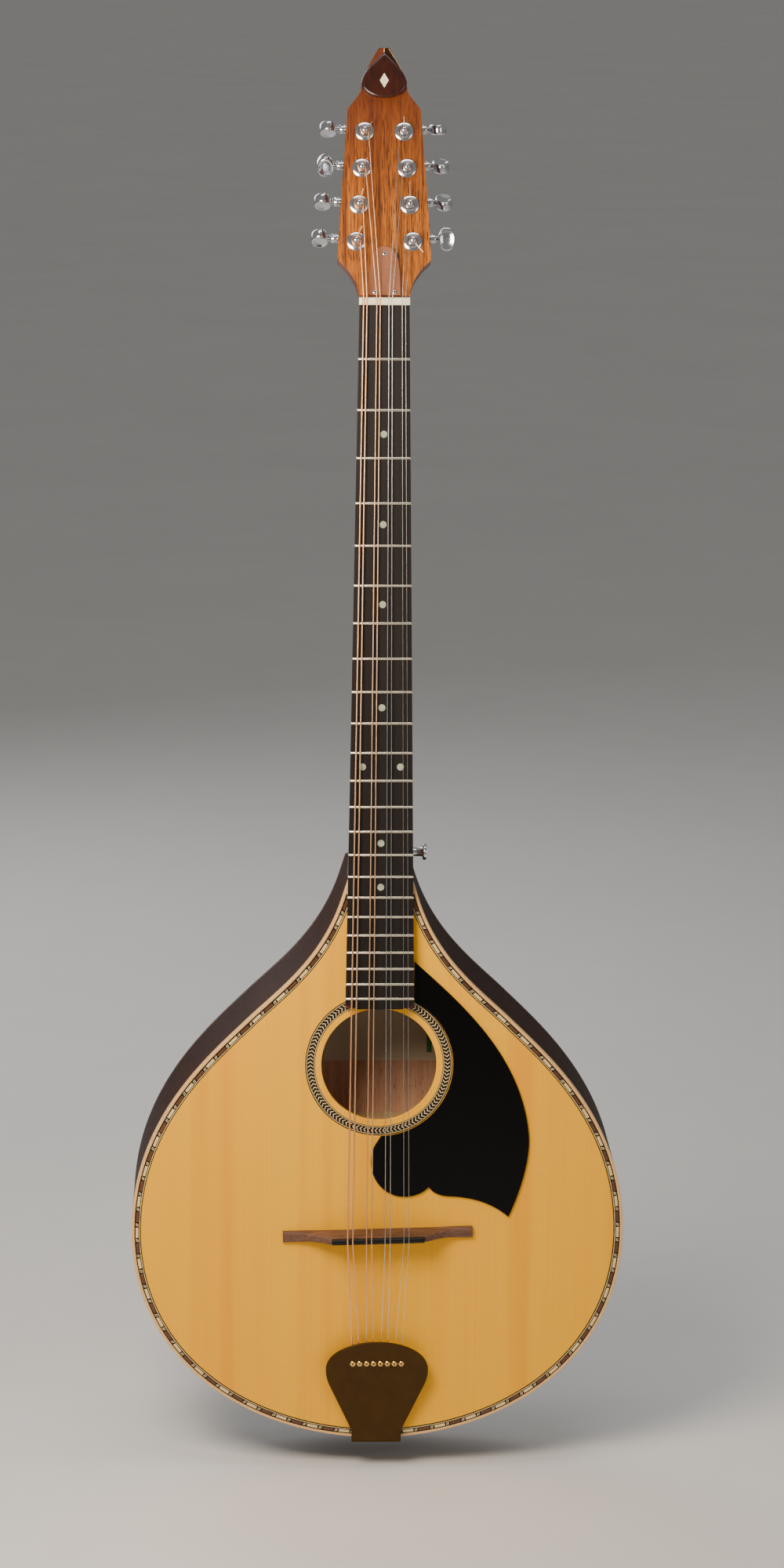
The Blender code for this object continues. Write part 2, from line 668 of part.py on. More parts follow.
def bushing_mesh():
    profile = [(3.2, 2.4), (4.6, 1.6), (6.45, 1.2), (6.45, 0.3), (5.0, 0.3), (5.0, -14.7),
               (3.2, -14.7)]
    return turned_mesh("tuner_bushing", [(r * MM, z * MM) for r, z in profile], 16, closed=True)


def button_mesh():
    """Worm shaft along local X with a dished oval knob on its outer end."""
    knob_end = KNOB_START + KNOB_SIZE[0]
    ridges = []
    for i in range(3):
        x = 4.6 - 3.6 * i
        ridges += [(1.6, x), (2.2, x - 1.8)]
    shaft = [(0, 22.0), (2.0, 22.0), (2.0, 6.4)] + ridges + [(1.6, -6.4), (0, -6.4)]
    shaft = turned_mesh("worm_shaft", [(r * MM, z * MM) for r, z in shaft], 10)
    shaft.transform(Matrix.Rotation(math.pi / 2, 4, "Y"))
    thick = KNOB_SIZE[2] / MM / 2
    half = KNOB_SIZE[1] / MM / 2
    side = [(0, 2.2), (6.9, thick), (half, thick * 0.6)]
    side += [(r, -z) for r, z in reversed(side)]
    knob = turned_mesh("knob", [(r * MM, z * MM) for r, z in side], 18)
    knob.transform(Matrix.Diagonal((KNOB_SIZE[0] / KNOB_SIZE[1], 1, 1, 1)))
    knob.transform(Matrix.Translation(((KNOB_START + knob_end) / 2, 0, 0)))
    return joined_mesh("tuner_button", shaft, [knob], "UNION")


def housing_mesh():
    """Gear box, open towards the headstock, with the collar that carries the shaft."""
    back = HEAD_THICKNESS + GAP
    box = box_mesh("tuner_housing", (-8.5 * MM, back, -6.8 * MM),
                   (8.5 * MM, back + 13 * MM, 11.6 * MM))
    place = Matrix.Translation((0, SHAFT_DEPTH, SHAFT_OFFSET))
    collar = rod_mesh("collar", 3.15 * MM, 7 * MM, 16.6 * MM, 16)
    collar.transform(place)
    box = joined_mesh("tuner_housing", box, [collar], "UNION")
    room = box_mesh("room", (-7.2 * MM, 0, -5.5 * MM),
                    (7.2 * MM, back + 11.7 * MM, 10.3 * MM))
    bore = rod_mesh("bore", 2.4 * MM, 0, 20 * MM, 16)
    bore.transform(place)
    return joined_mesh("tuner_housing", box, [room, bore], "DIFFERENCE")


def flipped(mesh):
    """The mirror image in x, for the bass side's machines."""
    copy = mesh.copy()
    copy.transform(Matrix.Diagonal((-1, 1, 1, 1)))
    copy.flip_normals()
    return copy


def make_tuners():
    treble = {"housing": housing_mesh(), "button": button_mesh()}
    bass = {name: flipped(mesh) for name, mesh in treble.items()}
    post, bushing = post_mesh(), bushing_mesh()
    outward = (math.pi / 2, 0, 0)
    for number in range(1, 9):
        x, z = post_place(number)
        side = bass if number <= 4 else treble
        add_part("tuner_housing_%d" % number, side["housing"], "chrome", HEAD, (x, 0, z))
        turn = math.radians(KNOB_TURNS[number - 1])
        add_part("tuner_button_%d" % number, side["button"], "chrome", HEAD,
                 (x, SHAFT_DEPTH, z + SHAFT_OFFSET), (math.pi / 2 + turn, 0, 0))
        add_part("string_post_%d" % number, post, "chrome", HEAD, (x, 0, z), outward)
        add_part("tuner_bushing_%d" % number, bushing, "chrome", HEAD, (x, 0, z), outward)


# ---------------------------------------------------------------- bridge, tailpiece, strings

def bridge_ring(x, base, top, height):
    return [(x, -GAP, -base / 2), (x, -GAP, base / 2), (x, -GAP - height, top / 2),
            (x, -GAP - height, -top / 2)]


def make_bridge():
    """Low feet, scooped shoulders and a tall middle that carries the saddle."""
    half = [(BRIDGE_HALF_LENGTH / MM, 8.0, 7.0, 3.0), (58.0, 8.0, 6.6, 3.4),
            (52.0, 8.0, 5.4, 4.6), (45.0, 7.4, 4.6, 7.2), (39.0, 7.4, 4.2, 11.0),
            (34.5, 7.4, 4.2, 14.4), (31.0, 7.4, 4.2, BRIDGE_BACK / MM)]
    rows = [(-x, b, t, h) for x, b, t, h in half] + list(reversed(half))
    rings = [bridge_ring(x * MM, b * MM, t * MM, h * MM) for x, b, t, h in rows]
    slant = (0, -BRIDGE_SLANT, 0)
    add_part("bridge", loft_mesh("bridge", rings), "rosewood", BODY, (0, 0, BRIDGE_Z), slant)
    low = -GAP - BRIDGE_BACK - GAP
    loop = [(-2.1, 0), (2.1, 0), (2.1, 1.9), (1.2, 3.0), (-1.2, 3.0), (-2.1, 1.9)]
    ends = (-SADDLE_HALF_LENGTH + GAP, SADDLE_HALF_LENGTH - GAP)
    rings = [[(x, low - up * MM, z * MM) for z, up in loop] for x in ends]
    saddle = loft_mesh("bridge_saddle", rings)
    add_part("bridge_saddle", saddle, "ebony", BODY, (0, 0, BRIDGE_Z), slant)


def tail_half_outline():
    points = bezier((0, 75), (19, 75), (36, 67), (36, 54), 9)
    points += bezier((36, 54), (36, 48), (34, 43.5), (32.3, 39.8), 3)
    points += bezier((19.6, 12), (18.2, 9), (17.4, 7), (17.4, 3), 3)
    points = [(x * MM, z * MM) for x, z in points]
    return points + [(TAIL_HALF_WIDTH, -1.4 * MM), (0, -1.7 * MM)]


def ball_x(number):
    return (number - 4.5) * BALL_PITCH


def tail_plate_y(z):
    """Middle of the plate's thickness, in the body frame."""
    return -TAIL_PLATE_FOOT - z * math.tan(TAIL_PLATE_RISE)


def make_tailpiece():
    row = BALL_ROW_Z / math.cos(TAIL_PLATE_RISE)
    holes = [circle((ball_x(number), row), 1.3 * MM, 8) for number in range(1, 9)]
    loops = [mirrored(tail_half_outline())] + holes
    curve = plate_curve("tailpiece", loops, TAIL_PLATE_THICKNESS)
    plate = add_part("tailpiece", curve, "brass_plate", BODY, (0, -TAIL_PLATE_FOOT, 0),
                     (math.pi / 2 + TAIL_PLATE_RISE, 0, 0))
    plate = to_mesh(plate)
    wide = TAIL_HALF_WIDTH - 0.1 * MM
    leg = box_mesh("tail_leg", (-wide, -TAIL_PLATE_FOOT - 0.5 * MM, -2.3 * MM), (wide, 42 * MM, -GAP))
    combine(plate, add_cutter("tail_leg", leg, BODY), "UNION")


def string_route(number):
    """Ball hole, under the plate, over saddle and nut, to the inner side of its post."""
    radius = STRING_RADII[number - 1]
    hole_x = ball_x(number)
    plate_y = tail_plate_y(BALL_ROW_Z)
    under = plate_y + TAIL_PLATE_THICKNESS / 2 + GAP + radius + 0.5 * MM
    saddle_x = string_x(number, COURSE_AT_BRIDGE, PAIR_AT_BRIDGE)
    saddle_z = BRIDGE_Z + saddle_x * math.tan(BRIDGE_SLANT)
    saddle_y = -SADDLE_TOP - GAP - radius
    route = [(hole_x, plate_y, BALL_ROW_Z), (hole_x, under, BALL_ROW_Z + 0.6 * MM),
             (hole_x, under, BALL_ROW_Z + 2.0 * MM)]
    for dz in (-2.0 * MM, 0.0, 2.0 * MM):
        route.append((saddle_x, saddle_y + abs(dz) * 0.05, saddle_z + dz))
    nut_x = string_x(number, COURSE_AT_NUT, PAIR_AT_NUT)
    for along, above in ((-0.5 * MM, STRING_OVER_NUT), (2.5 * MM, STRING_OVER_NUT + 0.05 * MM),
                         (NUT_LENGTH, STRING_OVER_NUT - 0.15 * MM)):
        z = NUT_Z + along
        route.append((nut_x, fingerboard_y(z) - above, z))
    post_x, post_z = post_place(number)
    inner = 2.2 * MM + GAP + radius
    end_x = post_x + (inner if number <= 4 else -inner)
    route.append(tuple(from_head((end_x, -WRAP_HEIGHT, post_z))))
    return route


def make_strings():
    for number in range(1, 9):
        name = "string_%d" % number
        curve = wire_curve(name, string_route(number), STRING_RADII[number - 1])
        add_part(name, curve, "bronze_wire" if number <= 4 else "steel", BODY)


make_body()
make_inner_blocks()
make_pickguard()
make_neck()
make_fingerboard_wedge()
make_neck_fittings()
make_headstock_faces()
make_tuners()
make_bridge()
make_tailpiece()
make_strings()
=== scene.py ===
# %% [markdown]
# # A flat-backed bouzouki with eight strings
#
# This notebook gives a long-necked lute its looks. The solid parts and their joints come
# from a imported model, the frame, which is loaded first and never moved. Around it we build
# finer pieces: the spruce top with its inlaid border, the fretted neck, eight tuning
# machines, bridge, tailpiece and strings. Every piece rides on a body of the frame, so a
# tuning knob still turns when its joint does.

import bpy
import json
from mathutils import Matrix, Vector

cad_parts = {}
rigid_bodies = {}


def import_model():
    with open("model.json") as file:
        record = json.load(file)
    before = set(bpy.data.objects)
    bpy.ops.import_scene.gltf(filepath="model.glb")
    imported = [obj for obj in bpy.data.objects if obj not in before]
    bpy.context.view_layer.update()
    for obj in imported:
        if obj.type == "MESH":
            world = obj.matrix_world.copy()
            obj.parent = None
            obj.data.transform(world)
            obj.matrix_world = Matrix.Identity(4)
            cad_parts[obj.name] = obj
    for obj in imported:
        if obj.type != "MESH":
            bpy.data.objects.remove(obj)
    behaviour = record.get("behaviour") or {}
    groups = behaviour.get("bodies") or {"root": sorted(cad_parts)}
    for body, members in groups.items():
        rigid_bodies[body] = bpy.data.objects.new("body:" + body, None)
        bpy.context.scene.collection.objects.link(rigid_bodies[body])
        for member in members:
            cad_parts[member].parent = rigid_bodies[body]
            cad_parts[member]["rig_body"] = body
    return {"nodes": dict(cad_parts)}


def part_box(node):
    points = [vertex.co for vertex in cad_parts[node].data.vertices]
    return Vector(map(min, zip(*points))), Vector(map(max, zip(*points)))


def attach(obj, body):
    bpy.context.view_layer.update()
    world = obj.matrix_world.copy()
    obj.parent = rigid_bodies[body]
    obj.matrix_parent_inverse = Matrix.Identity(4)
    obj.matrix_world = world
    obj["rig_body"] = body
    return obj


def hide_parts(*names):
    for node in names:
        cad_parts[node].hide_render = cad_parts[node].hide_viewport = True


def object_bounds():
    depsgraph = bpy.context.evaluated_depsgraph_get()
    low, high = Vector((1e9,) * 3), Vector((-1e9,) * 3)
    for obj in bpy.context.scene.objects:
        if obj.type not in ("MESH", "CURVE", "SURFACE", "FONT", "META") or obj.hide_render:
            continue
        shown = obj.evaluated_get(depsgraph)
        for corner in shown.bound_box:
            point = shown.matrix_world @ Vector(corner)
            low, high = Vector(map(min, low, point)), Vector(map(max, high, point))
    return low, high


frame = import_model()
cad_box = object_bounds()

# %% [markdown]
# ## Three frames to draw in
#
# An instrument maker measures the body from its tail, the neck from the nut and the
# headstock from the nut's upper side, and each leans a little further back than the one
# before. We do the same: a matrix for each frame, and lengths in millimetres. In every
# frame x points to the treble side, y goes into the wood and z runs towards the tip, so a
# shape is drawn flat and only its matrix tilts it. The tail and the face come from the
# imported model's own boxes, which keeps the pieces on the solids they dress.

# %% Modules, units and frames
import json
import math

import bmesh
import bpy
from mathutils import Matrix, Vector

MM = 0.001
SCENE = bpy.context.scene
TAIL = Vector((0.0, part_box("soundboard")[0].y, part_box("side_treble")[0].z))
BODY_LENGTH = (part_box("side_treble")[1].z - TAIL.z) / MM
BODY_HALF_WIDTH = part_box("side_treble")[1].x / MM
BODY_DEPTH = (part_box("back_plate")[1].y - TAIL.y) / MM

SCALE_LENGTH = 650.0
FRET_COUNT = 23
NUT_Z = 801.0                   # lower side of the nut, from the tail
NECK_LEAN = math.radians(2.5)
HEAD_LEAN = math.radians(16.0)
LAST_FRET = SCALE_LENGTH * (1.0 - 2.0 ** (-FRET_COUNT / 12.0))
LAST_FRET_HEIGHT = 9.0


def fingerboard_y(z):
    """Height line of the fingerboard's surface over the top, at a height from the tail."""
    return -LAST_FRET_HEIGHT + (z - NUT_Z + LAST_FRET) * math.tan(NECK_LEAN)


def shift(x, y, z):
    return Matrix.Translation(Vector((x, y, z)) * MM)


BODY = Matrix.Translation(TAIL)
NECK = BODY @ shift(0, fingerboard_y(NUT_Z), NUT_Z) @ Matrix.Rotation(-NECK_LEAN, 4, "X")
HEAD = NECK @ shift(0, 4.5, 5.0) @ Matrix.Rotation(-HEAD_LEAN, 4, "X")
print("body %.1f x %.1f x %.1f mm" % (2 * BODY_HALF_WIDTH, BODY_DEPTH, BODY_LENGTH))

# %% [markdown]
# ## Outlines, plates, bands and turned shapes
#
# Almost everything on a lute is one of five shapes: a plate sawn to an outline, a band bent
# along one, a turned part, a part carved from section to section, or a wire. Each gets one
# short function that returns a bmesh, which keeps the pieces below down to their sizes.
# Drawing with cubic curves gives smooth outlines from a few control points, as a maker's
# template does.

# %% Flat outlines
def bezier(start, pull_a, pull_b, end, steps):
    """Points on a cubic curve, its last point left out."""
    points = []
    for i in range(steps):
        t = i / steps
        weights = ((1 - t) ** 3, 3 * t * (1 - t) ** 2, 3 * t * t * (1 - t), t ** 3)
        corners = (start, pull_a, pull_b, end)
        points.append(tuple(sum(w * c[k] for w, c in zip(weights, corners)) for k in (0, 1)))
    return points


def circle(centre, radius, segments=48):
    turns = [2 * math.pi * i / segments for i in range(segments)]
    return [(centre[0] + radius * math.cos(a), centre[1] + radius * math.sin(a)) for a in turns]


def mirrored(half):
    """A closed loop from a half outline that starts and ends on the centre line."""
    return half + [(-x, z) for x, z in reversed(half[1:-1])]


def inset(loop, distance):
    """A closed, anticlockwise loop moved inwards."""
    moved = []
    for before, here, after in zip(loop[-1:] + loop[:-1], loop, loop[1:] + loop[:1]):
        a = (Vector(here) - Vector(before)).normalized()
        b = (Vector(after) - Vector(here)).normalized()
        inward = Vector((-(a.y + b.y), a.x + b.x)).normalized()
        stretch = 1.0 / max(0.5, math.sqrt((1.0 + a.dot(b)) / 2.0))
        moved.append(tuple(Vector(here) + inward * distance * stretch))
    return moved


# %% Solid shapes
def plate(loops, front, back):
    """A board sawn to its first loop, with the other loops cut out."""
    bm = bmesh.new()
    rims = [[bm.verts.new((x, front, z)) for x, z in loop] for loop in loops]
    for rim in rims:
        for a, b in zip(rim, rim[1:] + rim[:1]):
            bm.edges.new((a, b))
    bmesh.ops.triangle_fill(bm, use_beauty=True, edges=bm.edges)
    twin = {v: bm.verts.new((v.co.x, back, v.co.z)) for rim in rims for v in rim}
    for face in bm.faces[:]:
        bm.faces.new([twin[v] for v in reversed(face.verts)])
    for rim in rims:
        for a, b in zip(rim, rim[1:] + rim[:1]):
            bm.faces.new((a, b, twin[b], twin[a]))
    return bm


def loft(rings, closed=False):
    """Skin a row of closed rings that all have the same number of points."""
    bm = bmesh.new()
    rows = [[bm.verts.new(p) for p in ring] for ring in rings]
    if closed:
        rows.append(rows[0])
    for lower, upper in zip(rows, rows[1:]):
        for i in range(len(lower)):
            j = (i + 1) % len(lower)
            bm.faces.new((lower[i], lower[j], upper[j], upper[i]))
    if not closed:
        bm.faces.new(rows[0])
        bm.faces.new(rows[-1])
    return bm


def band(outer, inner, front, back):
    """A strip bent along an outline, between two loops with equal numbers of points."""
    corners = ((outer, front), (outer, back), (inner, back), (inner, front))
    return loft([[(x, y, z) for x, z in loop] for loop, y in corners], closed=True)


def turned(profile, segments=40, closed=False):
    """A profile of (radius, height) turned about z; its ends may lie on the axis."""
    turns = [2 * math.pi * i / segments for i in range(segments)]
    rings = [[(r * math.cos(a), r * math.sin(a), z) for a in turns] for r, z in profile]
    return loft(rings, closed)


def joined(shapes):
    """One bmesh from several, each given with its matrix or alone."""
    whole = bmesh.new()
    for shape in shapes:
        bm, matrix = shape if isinstance(shape, tuple) else (shape, Matrix.Identity(4))
        bm.transform(matrix)
        part = bpy.data.meshes.new("part")
        bm.to_mesh(part)
        bm.free()
        whole.from_mesh(part)
        bpy.data.meshes.remove(part)
    return whole


def move(x, y, z):
    """A shift in millimetres, for a shape that is still being drawn."""
    return Matrix.Translation((x, y, z))


OUTWARDS = Matrix.Rotation(math.pi / 2, 4, "X")    # a turned part's axis points at the player
print("outlines, plates, lofts, bands and turned shapes are ready")

# %% [markdown]
# ## From a shape to a piece
#
# A finished piece needs its place, normals that face outwards, sharp edges kept sharp, a
# material, and a body to ride on. Doing all of it in one function means that no piece can
# miss a step. The small bevel matters most to the eye: real edges are never perfectly
# sharp, and the thin highlight along them tells us what a thing is made of.

# %% Finishing a piece
PIECES = []


def add_piece(name, bm, place, finish, body="instrument", stands_for=(), bevel=0.0,
              crease=38.0):
    """Puts a shape drawn in millimetres into the scene, on a body, in its finish."""
    bm.transform(place @ Matrix.Scale(MM, 4))
    bmesh.ops.remove_doubles(bm, verts=bm.verts, dist=1e-7)
    bmesh.ops.dissolve_degenerate(bm, edges=bm.edges, dist=1e-7)
    bmesh.ops.recalc_face_normals(bm, faces=bm.faces)
    mesh = bpy.data.meshes.new(name)
    bm.to_mesh(mesh)
    bm.free()
    mesh.materials.append(finish)
    mesh.shade_smooth()
    mesh.set_sharp_from_angle(angle=math.radians(crease))
    piece = bpy.data.objects.new(name, mesh)
    SCENE.collection.objects.link(piece)
    if bevel:
        rounding = piece.modifiers.new("rounding", "BEVEL")
        rounding.width = bevel * MM
        rounding.segments = 2
        rounding.limit_method = "ANGLE"
        rounding.angle_limit = math.radians(40)
        rounding.harden_normals = True
    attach(piece, body)
    if stands_for:
        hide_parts(*stands_for)
    PIECES.append(piece)
    return piece


print("pieces so far:", len(PIECES))

# %% [markdown]
# ## Finishes
#
# The instrument has twenty-seven materials, but they come in three families: woods, whose
# pattern is stretched along the grain; metals, which differ in colour and polish; and plain
# dense things such as bone, shell, plastic and paper. One function builds the nodes for all
# of them, because the difference is only in the numbers. The pattern reads Object
# coordinates, which are metres in the frame, so a growth ring of 1.5 mm is drawn 1.5 mm
# wide. Colours are written as sRGB hex values and one function turns them to the linear
# values that the shader wants.

# %% Helpers for nodes and colours
def linear(hex_colour):
    """A colour such as #d9a441 as the linear RGBA that a shader socket takes."""
    parts = [int(hex_colour[i:i + 2], 16) / 255 for i in (1, 3, 5)]
    return tuple(c / 12.92 if c <= 0.04045 else ((c + 0.055) / 1.055) ** 2.4
                 for c in parts) + (1.0,)


def add_node(tree, kind, settings=None, inputs=None):
    """Adds a node, sets its properties, and links or fills its inputs."""
    made = tree.nodes.new(kind)
    for name, value in (settings or {}).items():
        setattr(made, name, value)
    for key, value in (inputs or {}).items():
        if isinstance(value, bpy.types.NodeSocket):
            tree.links.new(value, made.inputs[key])
        else:
            made.inputs[key].default_value = value
    return made


def speckle(tree, cell, detail=3.0, offset=0.0):
    """Noise from 0 to 1 whose cells are about cell = (x, y, z) millimetres, in Object space."""
    place = add_node(tree, "ShaderNodeTexCoord").outputs["Object"]
    sized = add_node(tree, "ShaderNodeMapping", None, {
        "Vector": place, "Location": (offset, offset, offset),
        "Scale": tuple(1.0 / (c * MM) for c in cell)}).outputs["Vector"]
    return add_node(tree, "ShaderNodeTexNoise", None, {
        "Vector": sized, "Scale": 1.0, "Detail": detail, "Roughness": 0.55}).outputs["Fac"]


print("linear mid grey:", [round(c, 3) for c in linear("#808080")])

# %% The finish builder
def finish(name, pale, dark, grain, contrast=1.0, pores=None, pore_colour="#1a0d07",
           cloud=(60.0, 60.0, 90.0), cloud_share=0.35, roughness=0.4, spread=0.08,
           bump=0.0, **shader_values):
    """A material whose colour runs from pale to dark in cells of the size grain, in mm.

    pores is (cell, low, high): dark flecks where a finer noise lies between low and high.
    """
    material = bpy.data.materials.new(name)
    material.use_nodes = True
    tree = material.node_tree
    shader = tree.nodes["Principled BSDF"]
    streak = speckle(tree, grain)
    patch = speckle(tree, cloud, 2.0, 7.0)
    mixed = add_node(tree, "ShaderNodeMix", None, {0: cloud_share, 2: streak, 3: patch})
    half = 0.22 / contrast
    share = add_node(tree, "ShaderNodeMapRange", None, {
        "Value": mixed.outputs[0], "From Min": 0.5 - half, "From Max": 0.5 + half})
    colour = add_node(tree, "ShaderNodeMix", {"data_type": "RGBA"}, {
        0: share.outputs[0], 6: linear(pale), 7: linear(dark)})
    height = streak
    if pores:
        fleck = add_node(tree, "ShaderNodeMapRange", None, {
            "Value": speckle(tree, pores[0], 2.0, 3.0), "From Min": pores[1],
            "From Max": pores[2]})
        colour = add_node(tree, "ShaderNodeMix", {"data_type": "RGBA"}, {
            0: fleck.outputs[0], 6: colour.outputs[2], 7: linear(pore_colour)})
        height = add_node(tree, "ShaderNodeMath", {"operation": "SUBTRACT"}, {
            0: streak, 1: fleck.outputs[0]}).outputs[0]
    tree.links.new(colour.outputs[2], shader.inputs["Base Color"])
    gloss = add_node(tree, "ShaderNodeMapRange", None, {
        "Value": streak, "From Min": 0.3, "From Max": 0.7,
        "To Min": roughness - spread / 2, "To Max": roughness + spread / 2})
    tree.links.new(gloss.outputs[0], shader.inputs["Roughness"])
    if bump:
        relief = add_node(tree, "ShaderNodeBump", None, {
            "Strength": 0.5, "Distance": bump * MM, "Height": height})
        tree.links.new(relief.outputs["Normal"], shader.inputs["Normal"])
    for socket, value in shader_values.items():
        shader.inputs[socket.replace("_", " ")].default_value = value
    return material


def overlaid(tree, share, low, high, most, tint):
    """Lays a tint over the base colour where share lies from low to high, at most so strong."""
    shader = tree.nodes["Principled BSDF"]
    base = shader.inputs["Base Color"].links[0].from_socket
    amount = add_node(tree, "ShaderNodeMapRange", None, {
        "Value": share, "From Min": low, "From Max": high, "To Max": most})
    mixed = add_node(tree, "ShaderNodeMix", {"data_type": "RGBA"}, {
        0: amount.outputs[0], 6: base, 7: linear(tint)})
    tree.links.new(mixed.outputs[2], shader.inputs["Base Color"])


print("finish builder ready")

# %% [markdown]
# ### The spruce top
#
# A lute's top is quartersawn spruce: gold early wood crossed by fine, straight, darker
# lines of late wood, 1 to 1.5 mm apart, that run from tail to neck. Under the varnish there
# is silk as well, faint bright bars across the grain, and years of light have given a few
# amber stripes. Bands from a wave texture make the growth rings, because rings are a
# repeating pattern and noise is not; noise bends them slightly and adds silk and stripes.
# A wave texture repeats every 2 pi / 20 of its scaled length, so its scale is worked out
# from the spacing in millimetres.

# %% Spruce for the top
RING_SPACING = 1.5
WAVE_REPEAT = 2.0 * math.pi / 20.0


def varnished_spruce():
    """Quartersawn spruce under clear varnish: growth rings, silk and amber stripes."""
    material = finish("quartersawn_spruce_varnished", "#ffc11e", "#f9aa16",
                      (1.6, 1.6, 200.0), contrast=0.7, cloud=(30.0, 40.0, 900.0),
                      cloud_share=0.5, roughness=0.42, spread=0.08, bump=0.01,
                      Coat_Weight=0.04, Coat_Roughness=0.14, Specular_IOR_Level=0.16)
    tree = material.node_tree
    place = add_node(tree, "ShaderNodeTexCoord").outputs["Object"]
    across = add_node(tree, "ShaderNodeMapping", None, {
        "Vector": place, "Scale": (1.0, 1.0, 0.02)}).outputs["Vector"]
    rings = add_node(tree, "ShaderNodeTexWave", {"bands_direction": "X"}, {
        "Vector": across, "Scale": WAVE_REPEAT / (RING_SPACING * MM), "Distortion": 3.0,
        "Detail": 2.0, "Detail Scale": 0.3}).outputs["Fac"]
    overlaid(tree, rings, 0.5, 1.0, 0.20, "#d98a18")
    overlaid(tree, speckle(tree, (9.0, 9.0, 1.6), 2.0, 5.0), 0.55, 0.75, 0.12, "#ffd25a")
    stripes = speckle(tree, (17.0, 60.0, 1500.0), 1.0, 11.6)
    overlaid(tree, stripes, 0.53, 0.72, 0.40, "#e8941a")
    return material


SPRUCE = varnished_spruce()
print("made", SPRUCE.name)

# %% [markdown]
# ### The other woods
#
# Open-pored woods such as rosewood, mahogany and walnut show short dark dashes, which are
# vessels cut lengthwise, 0.2 to 0.5 mm wide and several millimetres long. Ebony and maple
# have pores too fine to see. The pores get their own noise, squeezed in two directions and
# cut off at a threshold so that only its peaks show.

# %% Woods
# East Indian rosewood, bent, filled and varnished: chocolate brown with near-black lines.
ROSEWOOD = finish("east_indian_rosewood_varnished", "#3c1c0b", "#180904", (2.2, 2.2, 240.0),
                  pores=((0.5, 0.5, 9.0), 0.60, 0.72), roughness=0.55, spread=0.1,
                  bump=0.02, Specular_IOR_Level=0.1)
# The same wood left open and oiled on the bridge, so it is paler and duller.
OILED_ROSEWOOD = finish("rosewood_oiled_carved", "#8a6450", "#3c261c", (30.0, 0.9, 0.9),
                        pores=((4.0, 0.3, 0.3), 0.6, 0.7), roughness=0.42, bump=0.03,
                        Specular_IOR_Level=0.3)
# Honduran mahogany with a satin lacquer: warm red-brown with long fine vessels.
MAHOGANY = finish("mahogany_satin_lacquered", "#7b3a22", "#4c2115", (1.6, 1.6, 150.0),
                  pores=((0.4, 0.4, 7.0), 0.58, 0.70), roughness=0.38, bump=0.02,
                  Coat_Weight=0.15, Coat_Roughness=0.2)
# Figured walnut veneer, amber in its varnish, with black vessels; towards the tip it is
# painted darker, as painted shade for the light that falls off up the headstock. The
# headstock leans, so the cells of its woods are long in y as well.
WALNUT = finish("walnut_veneer_varnished", "#d0781c", "#5a2608", (1.0, 60.0, 90.0),
                contrast=1.25, pores=((0.4, 40.0, 11.0), 0.53, 0.61),
                pore_colour="#341404", cloud=(4.0, 60.0, 160.0), cloud_share=0.5,
                roughness=0.34, bump=0.02, Coat_Weight=0.15, Coat_Roughness=0.08)
# Painted shade: from 0.05 m to 0.14 m up in z the veneer is mixed towards dark brown, to at most
# 0.85.
height = add_node(WALNUT.node_tree, "ShaderNodeSeparateXYZ", None, {
    0: add_node(WALNUT.node_tree, "ShaderNodeTexCoord").outputs["Object"]}).outputs["Z"]
overlaid(WALNUT.node_tree, height, 0.05, 0.14, 0.85, "#5e240a")
# Ebony fingerboard, oiled: black-brown with grey-brown streaks along the neck.
EBONY = finish("ebony_oiled", "#241d1a", "#0b0807", (0.9, 20.0, 34.0), contrast=0.9,
               pores=((0.35, 20.0, 3.5), 0.6, 0.7), pore_colour="#070504",
               cloud=(5.0, 5.0, 120.0), roughness=0.46, spread=0.14, bump=0.02,
               Specular_IOR_Level=0.25)
# Bent maple binding under amber varnish.
MAPLE = finish("maple_binding_varnished", "#f6c985", "#dda159", (0.8, 0.8, 14.0),
               contrast=0.7, roughness=0.36, bump=0.01, Coat_Weight=0.15,
               Coat_Roughness=0.1)
# Holly strips in the borders: closed grain, turned cream by the varnish over it.
HOLLY = finish("holly_inlay", "#f3d9a0", "#d8b878", (0.6, 0.6, 3.0), contrast=0.8,
               roughness=0.40)
# Walnut blocks between the holly ones: brown with dark fibres.
BROWN_INLAY = finish("walnut_inlay", "#754824", "#3c2412", (0.4, 0.4, 2.2), roughness=0.40)
# Black-dyed veneer, which all borders are laid on.
DYED_BLACK = finish("dyed_black_veneer", "#1b110b", "#0b0705", (0.5, 0.5, 3.0),
                    roughness=0.42, Specular_IOR_Level=0.3)
# Inner face of the rosewood back, left unvarnished: a matte pinkish brown.
RAW_BACK = finish("rosewood_sanded_bare", "#e0b492", "#c2906e", (2.0, 2.0, 120.0),
                  pores=((0.5, 0.5, 8.0), 0.6, 0.72), pore_colour="#80543a",
                  roughness=0.75, bump=0.03)
# Bars, blocks and linings: bare planed spruce and lime.
BARE_WOOD = finish("spruce_planed_bare", "#e2c79a", "#c09a68", (1.4, 1.4, 60.0),
                   roughness=0.72, bump=0.03)
# Polished dark drop on the tip of the head: red-brown and close-grained.
CREST_WOOD = finish("rosewood_polished", "#43190a", "#1e0a04", (1.6, 40.0, 14.0),
              cloud=(7.0, 7.0, 12.0), roughness=0.22, spread=0.05, Coat_Weight=0.25,
              Coat_Roughness=0.05)
# Plum-brown cover plate over the truss rod, satin.
COVER_WOOD = finish("pearwood_satin", "#a87050", "#7a4a33", (0.8, 40.0, 26.0),
                    pores=((0.25, 30.0, 4.0), 0.60, 0.70), pore_colour="#64391f",
                    roughness=0.45, bump=0.02, Specular_IOR_Level=0.3)

# %% [markdown]
# ### Metals and dense materials
#
# A metal's look is its reflections, so what counts is how rough it is and how that varies.
# Chromed machine heads are almost mirrors. Frets are nickel silver, polished by strings.
# The tailpiece is brass blackened with a patina. Each keeps the shader's usual IOR.

